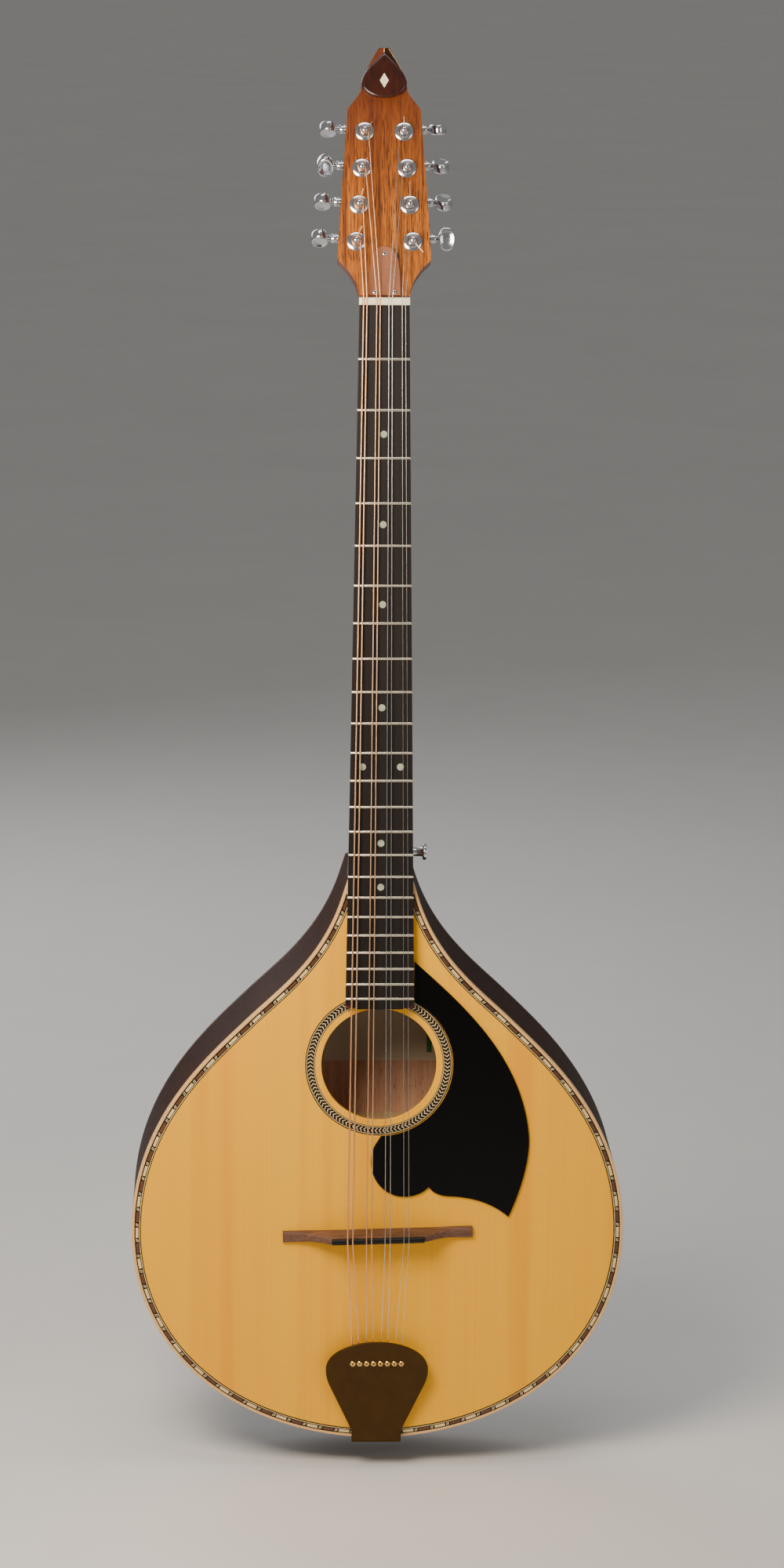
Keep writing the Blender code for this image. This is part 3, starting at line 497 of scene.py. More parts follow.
# %% Metals
# Chrome plate over polished zinc castings: a mirror with the faintest haze of wiping.
CHROME = finish("chrome_plated_zinc_polished", "#e6e7ea", "#d3d5d9", (4.0, 4.0, 4.0),
                roughness=0.14, spread=0.06, Metallic=1.0)
# Nickel silver fret wire: drawn, then crowned and polished across.
NICKEL = finish("nickel_silver_drawn", "#fff2da", "#e6d6b8", (0.4, 2.0, 0.4),
                roughness=0.22, spread=0.08, Metallic=1.0)
# Plain steel strings, drawn and bright.
STEEL = finish("steel_wire_drawn", "#d9d8d4", "#b9b8b4", (0.3, 0.3, 6.0),
               roughness=0.28, spread=0.1, Metallic=1.0)
# Cast gears and truss rod, cut and oiled steel.
CUT_STEEL = finish("machined_steel_oiled", "#9a9a9c", "#6f6f72", (0.6, 0.6, 5.0),
                   roughness=0.38, spread=0.15, Metallic=1.0)
# Brass with a bronze-black patina, worn lighter in places.
DARK_BRASS = finish("brass_antique_patina", "#503a18", "#3c2a10", (9.0, 9.0, 9.0),
                    contrast=0.6, pores=((1.2, 1.2, 1.2), 0.66, 0.80),
                    pore_colour="#2a1a08", cloud=(30.0, 30.0, 30.0), roughness=0.44,
                    spread=0.08, bump=0.01, Metallic=0.8)
# Plain turned brass for the ball ends.
BRASS = finish("brass_turned_bright", "#f2cf85", "#cf9c4b", (0.6, 0.6, 0.6),
               roughness=0.2, spread=0.1, Metallic=1.0)


WINDING_PITCH = 0.7             # mm, twice the real pitch, so that the turns show


def wound_bronze():
    """Phosphor bronze wound on steel: fine ridges across the string."""
    material = finish("phosphor_bronze_wound", "#ffd9ae", "#eaa878", (0.4, 0.4, 2.0),
                      roughness=0.30, spread=0.1, Metallic=1.0)
    tree = material.node_tree
    place = add_node(tree, "ShaderNodeTexCoord").outputs["Object"]
    winding = add_node(tree, "ShaderNodeTexWave", {"bands_direction": "Z"}, {
        "Vector": place, "Scale": WAVE_REPEAT / (WINDING_PITCH * MM)}).outputs["Fac"]
    relief = add_node(tree, "ShaderNodeBump", None, {
        "Strength": 0.8, "Distance": 0.06 * MM, "Height": winding})
    tree.links.new(relief.outputs["Normal"], tree.nodes["Principled BSDF"].inputs["Normal"])
    return material


BRONZE = wound_bronze()

# %% Bone, shell, plastic and paper
# Bleached bone nut: ivory white, slightly streaked along the neck.
BONE = finish("bone_bleached_polished", "#fff6dc", "#f6e6c4", (1.2, 1.2, 6.0),
              contrast=0.8, roughness=0.3)
# Mother of pearl dots: pale green-grey with drifting bands.
PEARL = finish("mother_of_pearl_polished", "#c3c8b0", "#788570", (1.6, 1.6, 0.7),
               contrast=0.9, cloud=(3.0, 3.0, 3.0), roughness=0.16, Coat_Weight=0.6,
               Coat_Roughness=0.05)
# Black celluloid guard, buffed: nearly a black mirror.
CELLULOID = finish("black_celluloid_buffed", "#070606", "#040404", (8.0, 8.0, 8.0),
                   roughness=0.12, spread=0.03, Specular_IOR_Level=0.12)
# Blackened hardwood strip on the bridge, polished by strings.
BLACK_SADDLE = finish("ebony_dyed_polished", "#1d1a1a", "#0d0b0b", (0.8, 0.8, 8.0),
                      roughness=0.3, spread=0.05, Specular_IOR_Level=0.25)
# Maker's paper label with nothing written on it.
PAPER = finish("laid_paper_label", "#d9cdb0", "#c3b493", (1.4, 1.4, 0.5), contrast=0.6,
               roughness=0.85)
# Printed bar at the label's end.
GREEN_INK = finish("green_printed_paper", "#5b8f63", "#3f6e49", (0.8, 0.8, 0.8),
                   roughness=0.8)
print("finishes:", len(bpy.data.materials))

# %% [markdown]
# ## The body's outline
#
# The body is a teardrop: round at the tail, widest low down, then an S-curve that swings
# into the neck. Cubic curves and a short straight flank give half of it, the same line the
# frame's sides have, only drawn with far more points, so the edge reads as bent wood and
# not as facets.

# %% Body outline
def body_outline():
    """The closed outline of the body, anticlockwise from the tail's centre."""
    widest = BODY_HALF_WIDTH
    side = (widest, 152.7)
    flank = (26.8, 391.6)
    joint = (22.4, BODY_LENGTH)
    turn = (91.8, 305.8)
    out = (-math.cos(math.radians(44.5)), math.sin(math.radians(44.5)))
    half = bezier((0.0, 0.0), (89.2, 0.0), (widest, 56.3), side, 56)
    half += bezier(side, (widest, 232.0), (turn[0] - 39.8 * out[0], turn[1] - 39.8 * out[1]),
                   turn, 44)
    half += bezier(turn, (turn[0] + 29.3 * out[0], turn[1] + 29.3 * out[1]),
                   (flank[0] + 46.0 * 0.305, flank[1] - 46.0 * 0.952), flank, 40)
    return mirrored(half + [flank, joint, (0.0, BODY_LENGTH)])


OUTLINE = body_outline()
BINDING_WIDTH = 2.2
BINDING_DEPTH = 6.0
TOP_THICKNESS = 3.0
BACK_FRONT = BODY_DEPTH - 3.0
BORDER = (2.2, 2.85, 4.75, 5.35, 5.8, 6.4)    # strip edges, measured in from the outline
SOUND_HOLE = (0.0, 273.9)
SOUND_HOLE_RADIUS = 40.0
print("outline points:", len(OUTLINE))

# %% [markdown]
# ## Top, binding, back and sides
#
# The spruce board stops where the inlaid border begins, as the real one does: a router cuts
# a ledge round its edge and the border fills it, flush. Outside the border the maple
# binding caps the joint with the sides and takes the knocks. The back carries a slim
# binding too, with a pale maple line along the far edge that is partly a real line and
# partly a painted highlight for the thin line of light on the back's rounded edge.

# %% The spruce board
hole = circle(SOUND_HOLE, SOUND_HOLE_RADIUS, 144)
board = plate([inset(OUTLINE, BORDER[-1]), hole], 0.0, TOP_THICKNESS)
add_piece("spruce_top", board, BODY, SPRUCE, stands_for=["soundboard"], bevel=0.5)
rim = band(OUTLINE, inset(OUTLINE, BINDING_WIDTH), 0.0, BINDING_DEPTH)
add_piece("front_binding", rim, BODY, MAPLE, stands_for=["binding_front"], bevel=0.7)
print("top and binding made")

# %% Sides and back
inner_wall = inset(OUTLINE, BINDING_WIDTH)
half_count = len(OUTLINE) // 2
for name, first, node in (("treble", 0, "side_treble"), ("bass", half_count, "side_bass")):
    picks = [(first + i) % len(OUTLINE) for i in range(half_count + 1)]
    wall = [OUTLINE[i] for i in picks] + [inner_wall[i] for i in reversed(picks)]
    strip = plate([wall], BINDING_DEPTH, BACK_FRONT - 1.0)
    add_piece("bent_side_" + name, strip, BODY, ROSEWOOD, stands_for=[node])

back_board = plate([inset(OUTLINE, 1.6)], BACK_FRONT, BODY_DEPTH)
add_piece("rosewood_back", back_board, BODY, ROSEWOOD, stands_for=["back_plate"],
          bevel=0.6)
back_rim = band(OUTLINE, inset(OUTLINE, 1.6), BACK_FRONT - 0.6, BODY_DEPTH)
add_piece("back_binding", back_rim, BODY, DYED_BLACK, bevel=0.5)
# Painted highlight: this pale strip is partly a real line, partly the thin line of light along the
# back's rounded edge.
thread = band(inset(OUTLINE, 0.02), inset(OUTLINE, 1.4), BACK_FRONT - 1.0, BACK_FRONT - 0.6)
add_piece("back_pale_line", thread, BODY, MAPLE)
print("sides and back made")

# %% [markdown]
# ## The inlaid border
#
# Next to the binding runs a black-dyed strip with blocks let into it: a pale holly block,
# two slanting ticks, a walnut block, two ticks, and again, fifty times round. Then
# come a black, a white and a black line. The lines are bands along the outline. The blocks
# repeat along a path, which is what Geometry Nodes are best at: the tree samples the guide
# curve at even steps, puts one block at each and turns it along the curve. Modelling a
# hundred blocks by hand would give the same picture and no way to change it.

# %% A node tree that lays units along a path
def new_tree(name, inputs):
    """An empty geometry tree with a geometry input and output and the named inputs."""
    tree = bpy.data.node_groups.new(name, "GeometryNodeTree")
    tree.interface.new_socket("Geometry", in_out="INPUT", socket_type="NodeSocketGeometry")
    tree.interface.new_socket("Geometry", in_out="OUTPUT", socket_type="NodeSocketGeometry")
    for label, kind in inputs:
        tree.interface.new_socket(label, in_out="INPUT", socket_type="NodeSocket" + kind)
    return tree, add_node(tree, "NodeGroupInput").outputs


def end_tree(tree, geometry, material):
    """Makes instances real, gives them their material and ends the tree."""
    real = add_node(tree, "GeometryNodeRealizeInstances", None, {"Geometry": geometry})
    painted = add_node(tree, "GeometryNodeSetMaterial", None, {
        "Geometry": real.outputs[0], "Material": material})
    add_node(tree, "NodeGroupOutput", None, {"Geometry": painted.outputs[0]})
    return tree


def row_along_path():
    """Count units along a guide curve, each turned with the curve about the y axis."""
    tree, given = new_tree("row_along_path", [
        ("Unit", "Object"), ("Count", "Int"), ("Shift", "Float"), ("Finish", "Material")])
    path = add_node(tree, "GeometryNodeMeshToCurve", None, {"Mesh": given["Geometry"]})
    points = add_node(tree, "GeometryNodePoints", None, {"Count": given["Count"]})
    step = add_node(tree, "ShaderNodeMath", {"operation": "ADD"}, {
        0: add_node(tree, "GeometryNodeInputIndex").outputs[0], 1: given["Shift"]})
    share = add_node(tree, "ShaderNodeMath", {"operation": "DIVIDE"}, {
        0: step.outputs[0], 1: given["Count"]})
    place = add_node(tree, "GeometryNodeSampleCurve", {"mode": "FACTOR"}, {
        "Curves": path.outputs[0], "Factor": share.outputs[0]})
    along = add_node(tree, "FunctionNodeAlignRotationToVector",
                     {"axis": "X", "pivot_axis": "Y"}, {"Vector": place.outputs["Tangent"]})
    spread = add_node(tree, "GeometryNodeSetPosition", None, {
        "Geometry": points.outputs[0], "Position": place.outputs["Position"]})
    unit = add_node(tree, "GeometryNodeObjectInfo", None, {"Object": given["Unit"]})
    laid = add_node(tree, "GeometryNodeInstanceOnPoints", None, {
        "Points": spread.outputs[0], "Instance": unit.outputs["Geometry"],
        "Rotation": along.outputs[0]})
    return end_tree(tree, laid.outputs[0], given["Finish"])


ROW = row_along_path()
print("tree nodes:", len(ROW.nodes))

# %% Running a tree once
def helper_object(name, bm):
    mesh = bpy.data.meshes.new(name)
    bm.to_mesh(mesh)
    bm.free()
    helper = bpy.data.objects.new(name, mesh)
    SCENE.collection.objects.link(helper)
    return helper


def grown(tree, guide, **values):
    """Runs a tree on a guide shape and returns its result as a plain bmesh."""
    helper = helper_object("guide", guide)
    modifier = helper.modifiers.new("grow", "NODES")
    modifier.node_group = tree
    for item in tree.interface.items_tree:
        if item.in_out == "INPUT" and item.name in values:
            modifier[item.identifier] = values[item.name]
    evaluated = helper.evaluated_get(bpy.context.evaluated_depsgraph_get())
    made = bpy.data.meshes.new_from_object(evaluated)
    bm = bmesh.new()
    bm.from_mesh(made)
    bpy.data.objects.remove(helper, do_unlink=True)
    bpy.data.meshes.remove(made)
    return bm


def guide_loop(loop, y):
    """A closed wire for a tree to follow."""
    bm = bmesh.new()
    verts = [bm.verts.new((x, y, z)) for x, z in loop]
    for a, b in zip(verts, verts[1:] + verts[:1]):
        bm.edges.new((a, b))
    return bm


def inlay_unit(name, corners, depth=1.2):
    """A flat chip with its corners in x and z, sunk into the wood by depth."""
    return helper_object(name, plate([corners], -0.04, depth))


print("a tree runs on a guide, and its result is kept as a mesh")

# %% Border lines and blocks
for number, (start, end, stuff, slot_name) in enumerate((
        (BORDER[0], BORDER[3], DYED_BLACK, "ebony"),
        (BORDER[3], BORDER[4], HOLLY, "maple"),
        (BORDER[4], BORDER[5], DYED_BLACK, "ebony"))):
    strip = band(inset(OUTLINE, start), inset(OUTLINE, end), 0.0, TOP_THICKNESS)
    add_piece("border_line_%d" % (number + 1), strip, BODY, stuff)

PERIODS = 50
block_loop = inset(OUTLINE, (BORDER[1] + BORDER[2]) / 2)
half_band = (BORDER[2] - BORDER[1]) / 2
block = inlay_unit("block", [(-3.7, -half_band), (3.7, -half_band), (3.7, half_band),
                             (-3.7, half_band)])
tick = inlay_unit("tick", [(-0.65, -half_band), (-0.1, -half_band), (0.65, half_band),
                           (0.1, half_band)])
pale_rows = [grown(ROW, guide_loop(block_loop, 0), Unit=block, Count=PERIODS, Shift=0.0,
                   Finish=HOLLY)]
for shift_share in (0.225, 0.275, 0.725, 0.775):
    pale_rows.append(grown(ROW, guide_loop(block_loop, 0), Unit=tick, Count=PERIODS,
                           Shift=shift_share, Finish=HOLLY))
add_piece("border_holly_blocks", joined(pale_rows), BODY, HOLLY)
brown_row = grown(ROW, guide_loop(block_loop, 0), Unit=block, Count=PERIODS, Shift=0.5,
                  Finish=BROWN_INLAY)
add_piece("border_walnut_blocks", brown_row, BODY, BROWN_INLAY)
print("border blocks:", 2 * PERIODS, " ticks:", 4 * PERIODS)

# %% [markdown]
# ## The rosette
#
# Round the sound hole lies a ring of black wood between fine white lines, with white
# chevrons that chase each other clockwise. It both decorates the hole and stops splits.
# The rings are bands between circles; the chevrons come from the same tree as the border,
# with another unit and a circle for a guide.

# %% Rosette
ROSETTE = ((44.5, 45.0, DYED_BLACK, "ebony"), (45.0, 45.4, HOLLY, "maple"),
           (45.4, 50.1, DYED_BLACK, "ebony"), (50.1, 50.5, HOLLY, "maple"),
           (50.5, 51.3, DYED_BLACK, "ebony"))
for number, (inner, outer, stuff, slot_name) in enumerate(ROSETTE):
    ring = band(circle(SOUND_HOLE, outer, 144), circle(SOUND_HOLE, inner, 144), -0.03, 1.5)
    add_piece("rosette_ring_%d" % (number + 1), ring, BODY, stuff)

CHEVRONS = 112
chevron = inlay_unit("chevron", [
    (0.95, 0.0), (-0.45, 1.75), (-1.2, 1.75), (0.2, 0.0), (-1.2, -1.75), (-0.45, -1.75)])
clockwise = list(reversed(circle(SOUND_HOLE, 47.75, 180)))
chevrons = grown(ROW, guide_loop(clockwise, -0.03), Unit=chevron, Count=CHEVRONS, Shift=0.0,
                 Finish=HOLLY)
add_piece("rosette_chevrons", chevrons, BODY, HOLLY)
print("chevrons:", CHEVRONS)

# %% [markdown]
# ## The pickguard
#
# A thin sheet of black celluloid protects the top from the pick. It is sawn to a long
# curve that follows the body's edge, fits round the rosette, and ends in a scalloped foot.

# %% Pickguard
def guard_loop():
    points = bezier((24.2, 347.9), (57.5, 317.5), (99.0, 281.0), (105.0, 224.0), 30)
    points += bezier((105.0, 224.0), (107.0, 206.0), (99.0, 180.0), (91.5, 163.5), 16)
    points += bezier((91.5, 163.5), (80.0, 174.0), (66.0, 177.7), (52.0, 178.5), 14)
    points += bezier((52.0, 178.5), (44.0, 178.5), (38.0, 181.0), (35.6, 185.4), 10)
    points += bezier((35.6, 185.4), (29.0, 178.0), (17.0, 176.5), (9.0, 180.5), 12)
    points += bezier((9.0, 180.5), (-7.5, 188.0), (-8.5, 211.0), (1.0, 220.5), 16)
    first, last = math.radians(-88), math.radians(62)
    turns = [first + (last - first) * i / 48 for i in range(49)]
    return points + [(SOUND_HOLE[0] + 51.6 * math.cos(a), SOUND_HOLE[1] + 51.6 * math.sin(a))
                     for a in turns]


guard = plate([guard_loop()], -1.5, 0.0)
add_piece("celluloid_guard", guard, BODY, CELLULOID,
          stands_for=["pickguard"], bevel=0.35)
print("pickguard made")

# %% [markdown]
# ## Neck and heel
#
# The neck is one length of mahogany, flat under the fingerboard and rounded behind, a
# little squarer at the headstock. Where it meets the body it deepens into a heel in a
# hollow curve. Sections that are superellipses, lofted from heel to nut, carve it the way a
# spokeshave does: one number makes a section rounder or squarer.

# %% Neck sections
BOARD_THICKNESS = 5.0
NUT_HALF_WIDTH = 16.85
LAST_FRET_HALF_WIDTH = 23.6
NECK_JOINT = BODY_LENGTH + 0.3
HEEL_LENGTH = 52.0
HEEL_BACK = 81.0


def half_width_at(z):
    share = (NUT_Z - z) / LAST_FRET
    return NUT_HALF_WIDTH + (LAST_FRET_HALF_WIDTH - NUT_HALF_WIDTH) * share


def neck_section(z, front, back, half_width, power):
    """A section flat in front and rounded behind: a higher power is squarer."""
    ring = [(-half_width, front, z), (-half_width / 3, front, z), (half_width / 3, front, z),
            (half_width, front, z)]
    for i in range(1, 36):
        angle = math.pi * i / 36
        reach = math.copysign(abs(math.cos(angle)) ** (2 / power), math.cos(angle))
        depth = (back - front) * math.sin(angle) ** (2 / power)
        ring.append((half_width * reach, front + depth, z))
    return ring


def neck_sections():
    rings = []
    top = NUT_Z + 5.0
    stations = [NECK_JOINT + HEEL_LENGTH * (i / 26) ** 1.5 for i in range(27)]
    stations += [462.0 + (top - 462.0) * i / 40 for i in range(41)]
    for z in stations:
        along = (z - NECK_JOINT) / (NUT_Z - NECK_JOINT)
        front = fingerboard_y(z) + BOARD_THICKNESS
        wood = 17.0 - 2.5 * along
        heel = max(0.0, 1.0 - (z - NECK_JOINT) / HEEL_LENGTH) ** 1.8
        back = front + wood + (HEEL_BACK - front - wood) * heel
        square = max(0.0, (z - 775.0) / (top - 775.0)) ** 1.5
        rings.append(neck_section(z, front, back, half_width_at(z), 2.3 + heel + 4.0 * square))
    return rings


print("sections:", len(neck_sections()))

# %% [markdown]
# ## The headstock
#
# The headstock leans back 16 degrees so that the strings press on the nut. Its core is the
# neck's mahogany; a thin walnut veneer faces it. Its outline flares above the nut, tapers
# along the tuners and closes in a spear.

# %% Headstock outline and core
def head_half():
    points = [(0.0, 0.8), (17.4, 0.8)]
    points += bezier((17.4, 0.8), (17.4, 8.5), (22.5, 17.5), (30.6, 24.4), 22)[1:]
    points += bezier((30.6, 24.4), (31.6, 25.4), (31.6, 26.6), (31.5, 28.5), 8)
    points += bezier((31.5, 28.5), (30.0, 60.0), (27.0, 96.0), (24.8, 129.5), 12)
    points += bezier((24.8, 129.5), (21.0, 134.5), (17.5, 138.5), (15.7, 142.0), 10)
    points += bezier((15.7, 142.0), (15.9, 150.0), (10.5, 160.0), (3.6, 172.0), 14)
    return points + [(3.6, 172.0), (0.0, 172.0)]


def post_place(number):
    """Head-frame x and z of a string's post: 1 to 4 up the bass side, 5 to 8 down."""
    row = number - 1 if number <= 4 else 8 - number
    x = 19.1 - 1.92 * row
    return (-x if number <= 4 else x, 38.0 + 25.3 * row)


HEAD_LOOP = mirrored(head_half())
post_holes = [circle(post_place(n), 5.3, 28) for n in range(1, 9)]
face = plate([HEAD_LOOP] + post_holes, 0.0, 1.2)
add_piece("walnut_face", face, HEAD, WALNUT, stands_for=["headstock_veneer"],
          bevel=0.5)
HEAD_FROM_BODY = Matrix.Scale(1 / MM, 4) @ BODY.inverted() @ HEAD @ Matrix.Scale(MM, 4)
core = plate([HEAD_LOOP] + post_holes, 1.2, 15.0)
carved = joined([loft(neck_sections()), (core, HEAD_FROM_BODY)])
add_piece("mahogany_neck", carved, BODY, MAHOGANY, stands_for=["neck"], bevel=0.6)
print("headstock outline points:", len(HEAD_LOOP))

# %% [markdown]
# ## Fingerboard, frets and dots
#
# The ebony board carries 23 frets. Each lies where a string is shortened by one more
# semitone, so its distance from the nut follows a power of two. A node tree can hold that
# rule itself: it turns each point's index into a distance and a width, and puts a crowned
# bar there. Change the scale length and all the frets move, as on the real thing.

# %% Fingerboard and the wedge under its tongue
board_end = LAST_FRET + 7.5
board_half = half_width_at(NUT_Z - board_end)
board_half_loop = [(0.0, -board_end), (board_half - 8.0, -board_end),
                   (board_half, 3.2 - board_end), (NUT_HALF_WIDTH, 0.0), (0.0, 0.0)]
board = plate([mirrored(board_half_loop)], 0.0, BOARD_THICKNESS)
add_piece("ebony_fingerboard", board, NECK, EBONY, stands_for=["fingerboard"],
          bevel=0.35)
tongue_sections = []
for z in (NUT_Z - board_end, 389.0):
    half, front = half_width_at(z), fingerboard_y(z) + BOARD_THICKNESS
    tongue_sections.append([(-half, front, z), (half, front, z), (half, 0.0, z), (-half, 0.0, z)])
add_piece("tongue_wedge", loft(tongue_sections), BODY, MAHOGANY,
          stands_for=["fingerboard_wedge"])
print("fingerboard %.1f mm long" % board_end)

# %% Frets by the rule of semitones
def fret_rule():
    """Bars at scale * (1 - 2 ** (-n / 12)) below the nut, each as wide as the board there."""
    tree, given = new_tree("fret_rule", [
        ("Bar", "Object"), ("Frets", "Int"), ("Scale Length", "Float"),
        ("Nut Half Width", "Float"), ("Widening", "Float"), ("Finish", "Material")])
    points = add_node(tree, "GeometryNodePoints", None, {"Count": given["Frets"]})
    number = add_node(tree, "ShaderNodeMath", {"operation": "MULTIPLY_ADD"}, {
        0: add_node(tree, "GeometryNodeInputIndex").outputs[0], 1: -1 / 12, 2: -1 / 12})
    shortened = add_node(tree, "ShaderNodeMath", {"operation": "POWER"}, {
        0: 2.0, 1: number.outputs[0]})
    drop = add_node(tree, "ShaderNodeMath", {"operation": "SUBTRACT"}, {
        0: shortened.outputs[0], 1: 1.0})
    height = add_node(tree, "ShaderNodeMath", {"operation": "MULTIPLY"}, {
        0: drop.outputs[0], 1: given["Scale Length"]})
    wider = add_node(tree, "ShaderNodeMath", {"operation": "MULTIPLY"}, {
        0: height.outputs[0], 1: given["Widening"]})
    half_width = add_node(tree, "ShaderNodeMath", {"operation": "SUBTRACT"}, {
        0: given["Nut Half Width"], 1: wider.outputs[0]})
    place = add_node(tree, "ShaderNodeCombineXYZ", None, {"Z": height.outputs[0]})
    size = add_node(tree, "ShaderNodeCombineXYZ", None, {
        "X": half_width.outputs[0], "Y": 1.0, "Z": 1.0})
    spread = add_node(tree, "GeometryNodeSetPosition", None, {
        "Geometry": points.outputs[0], "Position": place.outputs[0]})
    bar = add_node(tree, "GeometryNodeObjectInfo", None, {"Object": given["Bar"]})
    laid = add_node(tree, "GeometryNodeInstanceOnPoints", None, {
        "Points": spread.outputs[0], "Instance": bar.outputs["Geometry"],
        "Scale": size.outputs[0]})
    return end_tree(tree, laid.outputs[0], given["Finish"])


def fret_bar():
    """A crowned bar from x = -1 to 1: the tree stretches it to the board's half width."""
    rings = []
    for x, size in ((-1.0, 0.45), (-0.985, 0.85), (-0.96, 1.0), (0.96, 1.0), (0.985, 0.85),
                    (1.0, 0.45)):
        arc = [math.pi * i / 8 for i in range(9)]
        rings.append([(x, -1.1 * size * math.sin(a), 0.95 * size * math.cos(a)) for a in arc])
    return helper_object("fret_bar", loft(rings))


frets = grown(fret_rule(), bmesh.new(), **{
    "Bar": fret_bar(), "Frets": FRET_COUNT, "Scale Length": SCALE_LENGTH,
    "Nut Half Width": NUT_HALF_WIDTH + 0.3, "Finish": NICKEL,
    "Widening": (LAST_FRET_HALF_WIDTH - NUT_HALF_WIDTH) / LAST_FRET})
add_piece("fret_wires", frets, NECK, NICKEL)
print("frets:", FRET_COUNT)

# %% Dots of mother of pearl
def unit_on_points():
    """The same unit at every point of the guide: dots, screws and ball ends."""
    tree, given = new_tree("unit_on_points", [("Unit", "Object"), ("Finish", "Material")])
    unit = add_node(tree, "GeometryNodeObjectInfo", None, {"Object": given["Unit"]})
    laid = add_node(tree, "GeometryNodeInstanceOnPoints", None, {
        "Points": given["Geometry"], "Instance": unit.outputs["Geometry"]})
    return end_tree(tree, laid.outputs[0], given["Finish"])


def guide_points(places):
    bm = bmesh.new()
    for place in places:
        bm.verts.new(place)
    return bm


def fret_z(number):
    return -SCALE_LENGTH * (1.0 - 2.0 ** (-number / 12.0))


SCATTER = unit_on_points()
DOT_FRETS = ((3, 0.0), (5, 0.0), (7, 0.0), (10, 0.0), (12, -13.0), (12, 13.0), (15, 0.0),
             (17, 0.0))
dot_places = [(x, 0.0, (fret_z(n) + fret_z(n - 1)) / 2) for n, x in DOT_FRETS]
dot = helper_object("dot", plate([circle((0.0, 0.0), 2.4, 24)], -0.06, 1.5))
dots = grown(SCATTER, guide_points(dot_places), Unit=dot, Finish=PEARL)
add_piece("pearl_dots", dots, NECK, PEARL)
print("dots:", len(dot_places))

# %% [markdown]
# ## Nut and strap button
#
# The bone nut spaces the eight strings in four pairs, each string in its own rounded slot.
# It is lofted along its length with extra sections at each slot, so the slots are real.

# %% Strings at the nut and at the bridge
STRING_RADII = (0.56, 0.56, 0.41, 0.41, 0.28, 0.28, 0.17, 0.17)


def string_x(number, outer, inner, pair):
    """Sideways place of a string, 1 to 8, from the half distances of its course."""
    centre = (-outer, -inner, inner, outer)[(number - 1) // 2]
    return centre + (pair / 2 if number % 2 == 0 else -pair / 2)


NUT_X = [string_x(n, 13.0, 4.1, 2.3) for n in range(1, 9)]
BRIDGE_X = [string_x(n, 19.6, 6.5, 3.6) for n in range(1, 9)]


def nut_sections():
    stations = {-17.15: 0.35, -16.7: 0.0, 16.7: 0.0, 17.15: 0.35}
    for x, radius in zip(NUT_X, STRING_RADII):
        slot = radius + 0.12
        for turn in range(-4, 5):
            reach = slot * math.sin(turn * math.pi / 8)
            stations[x + reach] = 0.62 + slot * math.cos(turn * math.pi / 8) * 0.6
        stations[x - slot - 0.01] = 0.0
        stations[x + slot + 0.01] = 0.0
    rings = []
    for x in sorted(stations):
        top = -2.2 + stations[x]
        rings.append([(x, 5.0, 0.05), (x, 5.0, 5.0), (x, top + 1.4, 5.0), (x, top + 0.5, 4.6),
                      (x, top + 0.1, 3.2), (x, top, 1.6), (x, top + 0.1, 0.6),
                      (x, top + 0.6, 0.05)])
    return rings


add_piece("bone_nut", loft(nut_sections()), NECK, BONE, stands_for=["nut"])
print("nut sections:", len(nut_sections()))

# %% Strap button
seat = (18.6, 24.0, 420.3)
button = turned([(0.0, 13.6), (1.0, 13.6), (1.6, 13.8), (4.6, 14.0), (5.4, 13.8), (5.7, 13.2),
                 (5.75, 12.2), (5.5, 11.5), (4.9, 11.2), (3.5, 11.0), (3.05, 10.4), (3.0, 5.0),
                 (3.3, 3.2), (4.2, 1.4), (5.0, 0.4), (0.0, 0.4)])
place = BODY @ shift(*seat) @ Matrix.Rotation(math.pi / 2, 4, "Y")
add_piece("strap_peg", button, place, CHROME, stands_for=["strap_button"])
print("strap button made")

# %% [markdown]
# ## Truss rod cover and the crest
#
# A little pearwood shield covers the truss rod's nut and is held by three domed screws.
# On the tip sits a plain carved crest: a dark polished drop with a bone diamond, and
# above it two facets that meet in a ridge. Their light and shade is painted: the bass
# facet is made in the pale walnut to look lit and the treble one in the dark rosewood to
# look shaded. Pale maple lines on the ridge and on the treble edge only are painted
# highlights.

# %% Truss rod cover and its screws
def cover_half():
    points = [(0.0, 1.0), (11.0, 1.0)]
    points += bezier((10.9, 1.2), (10.4, 22.0), (10.2, 34.0), (0.0, 34.5), 24)
    return points + [(0.0, 34.5)]


cover = plate([mirrored(cover_half())], -1.8, 0.0)
add_piece("truss_cover", cover, HEAD, COVER_WOOD, stands_for=["truss_rod_cover"],
          bevel=0.4)


def screw_head():
    """A domed head with a cross cut in it, its axis towards the player."""
    dome = turned([(0.0, 1.0), (0.8, 0.92), (1.45, 0.62), (1.85, 0.1), (1.85, -0.4),
                   (0.0, -0.4)], 20)
    return joined([(dome, OUTWARDS)])


def slot_cross():
    arms = [plate([[(-1.1, -0.2), (1.1, -0.2), (1.1, 0.2), (-1.1, 0.2)]], -1.02, -0.5),
            plate([[(-0.2, -1.1), (0.2, -1.1), (0.2, 1.1), (-0.2, 1.1)]], -1.02, -0.5)]
    return joined(arms)


screw_places = [(0.0, -1.8, 29.4), (-6.6, -1.8, 2.9), (6.6, -1.8, 2.9)]
heads = grown(SCATTER, guide_points(screw_places), Unit=helper_object("head", screw_head()),
              Finish=CHROME)
add_piece("cover_screws", heads, HEAD, CHROME)
crosses = grown(SCATTER, guide_points(screw_places), Unit=helper_object("cross", slot_cross()),
                Finish=DYED_BLACK)
add_piece("cover_screw_slots", crosses, HEAD, DYED_BLACK)
print("screws:", len(screw_places))

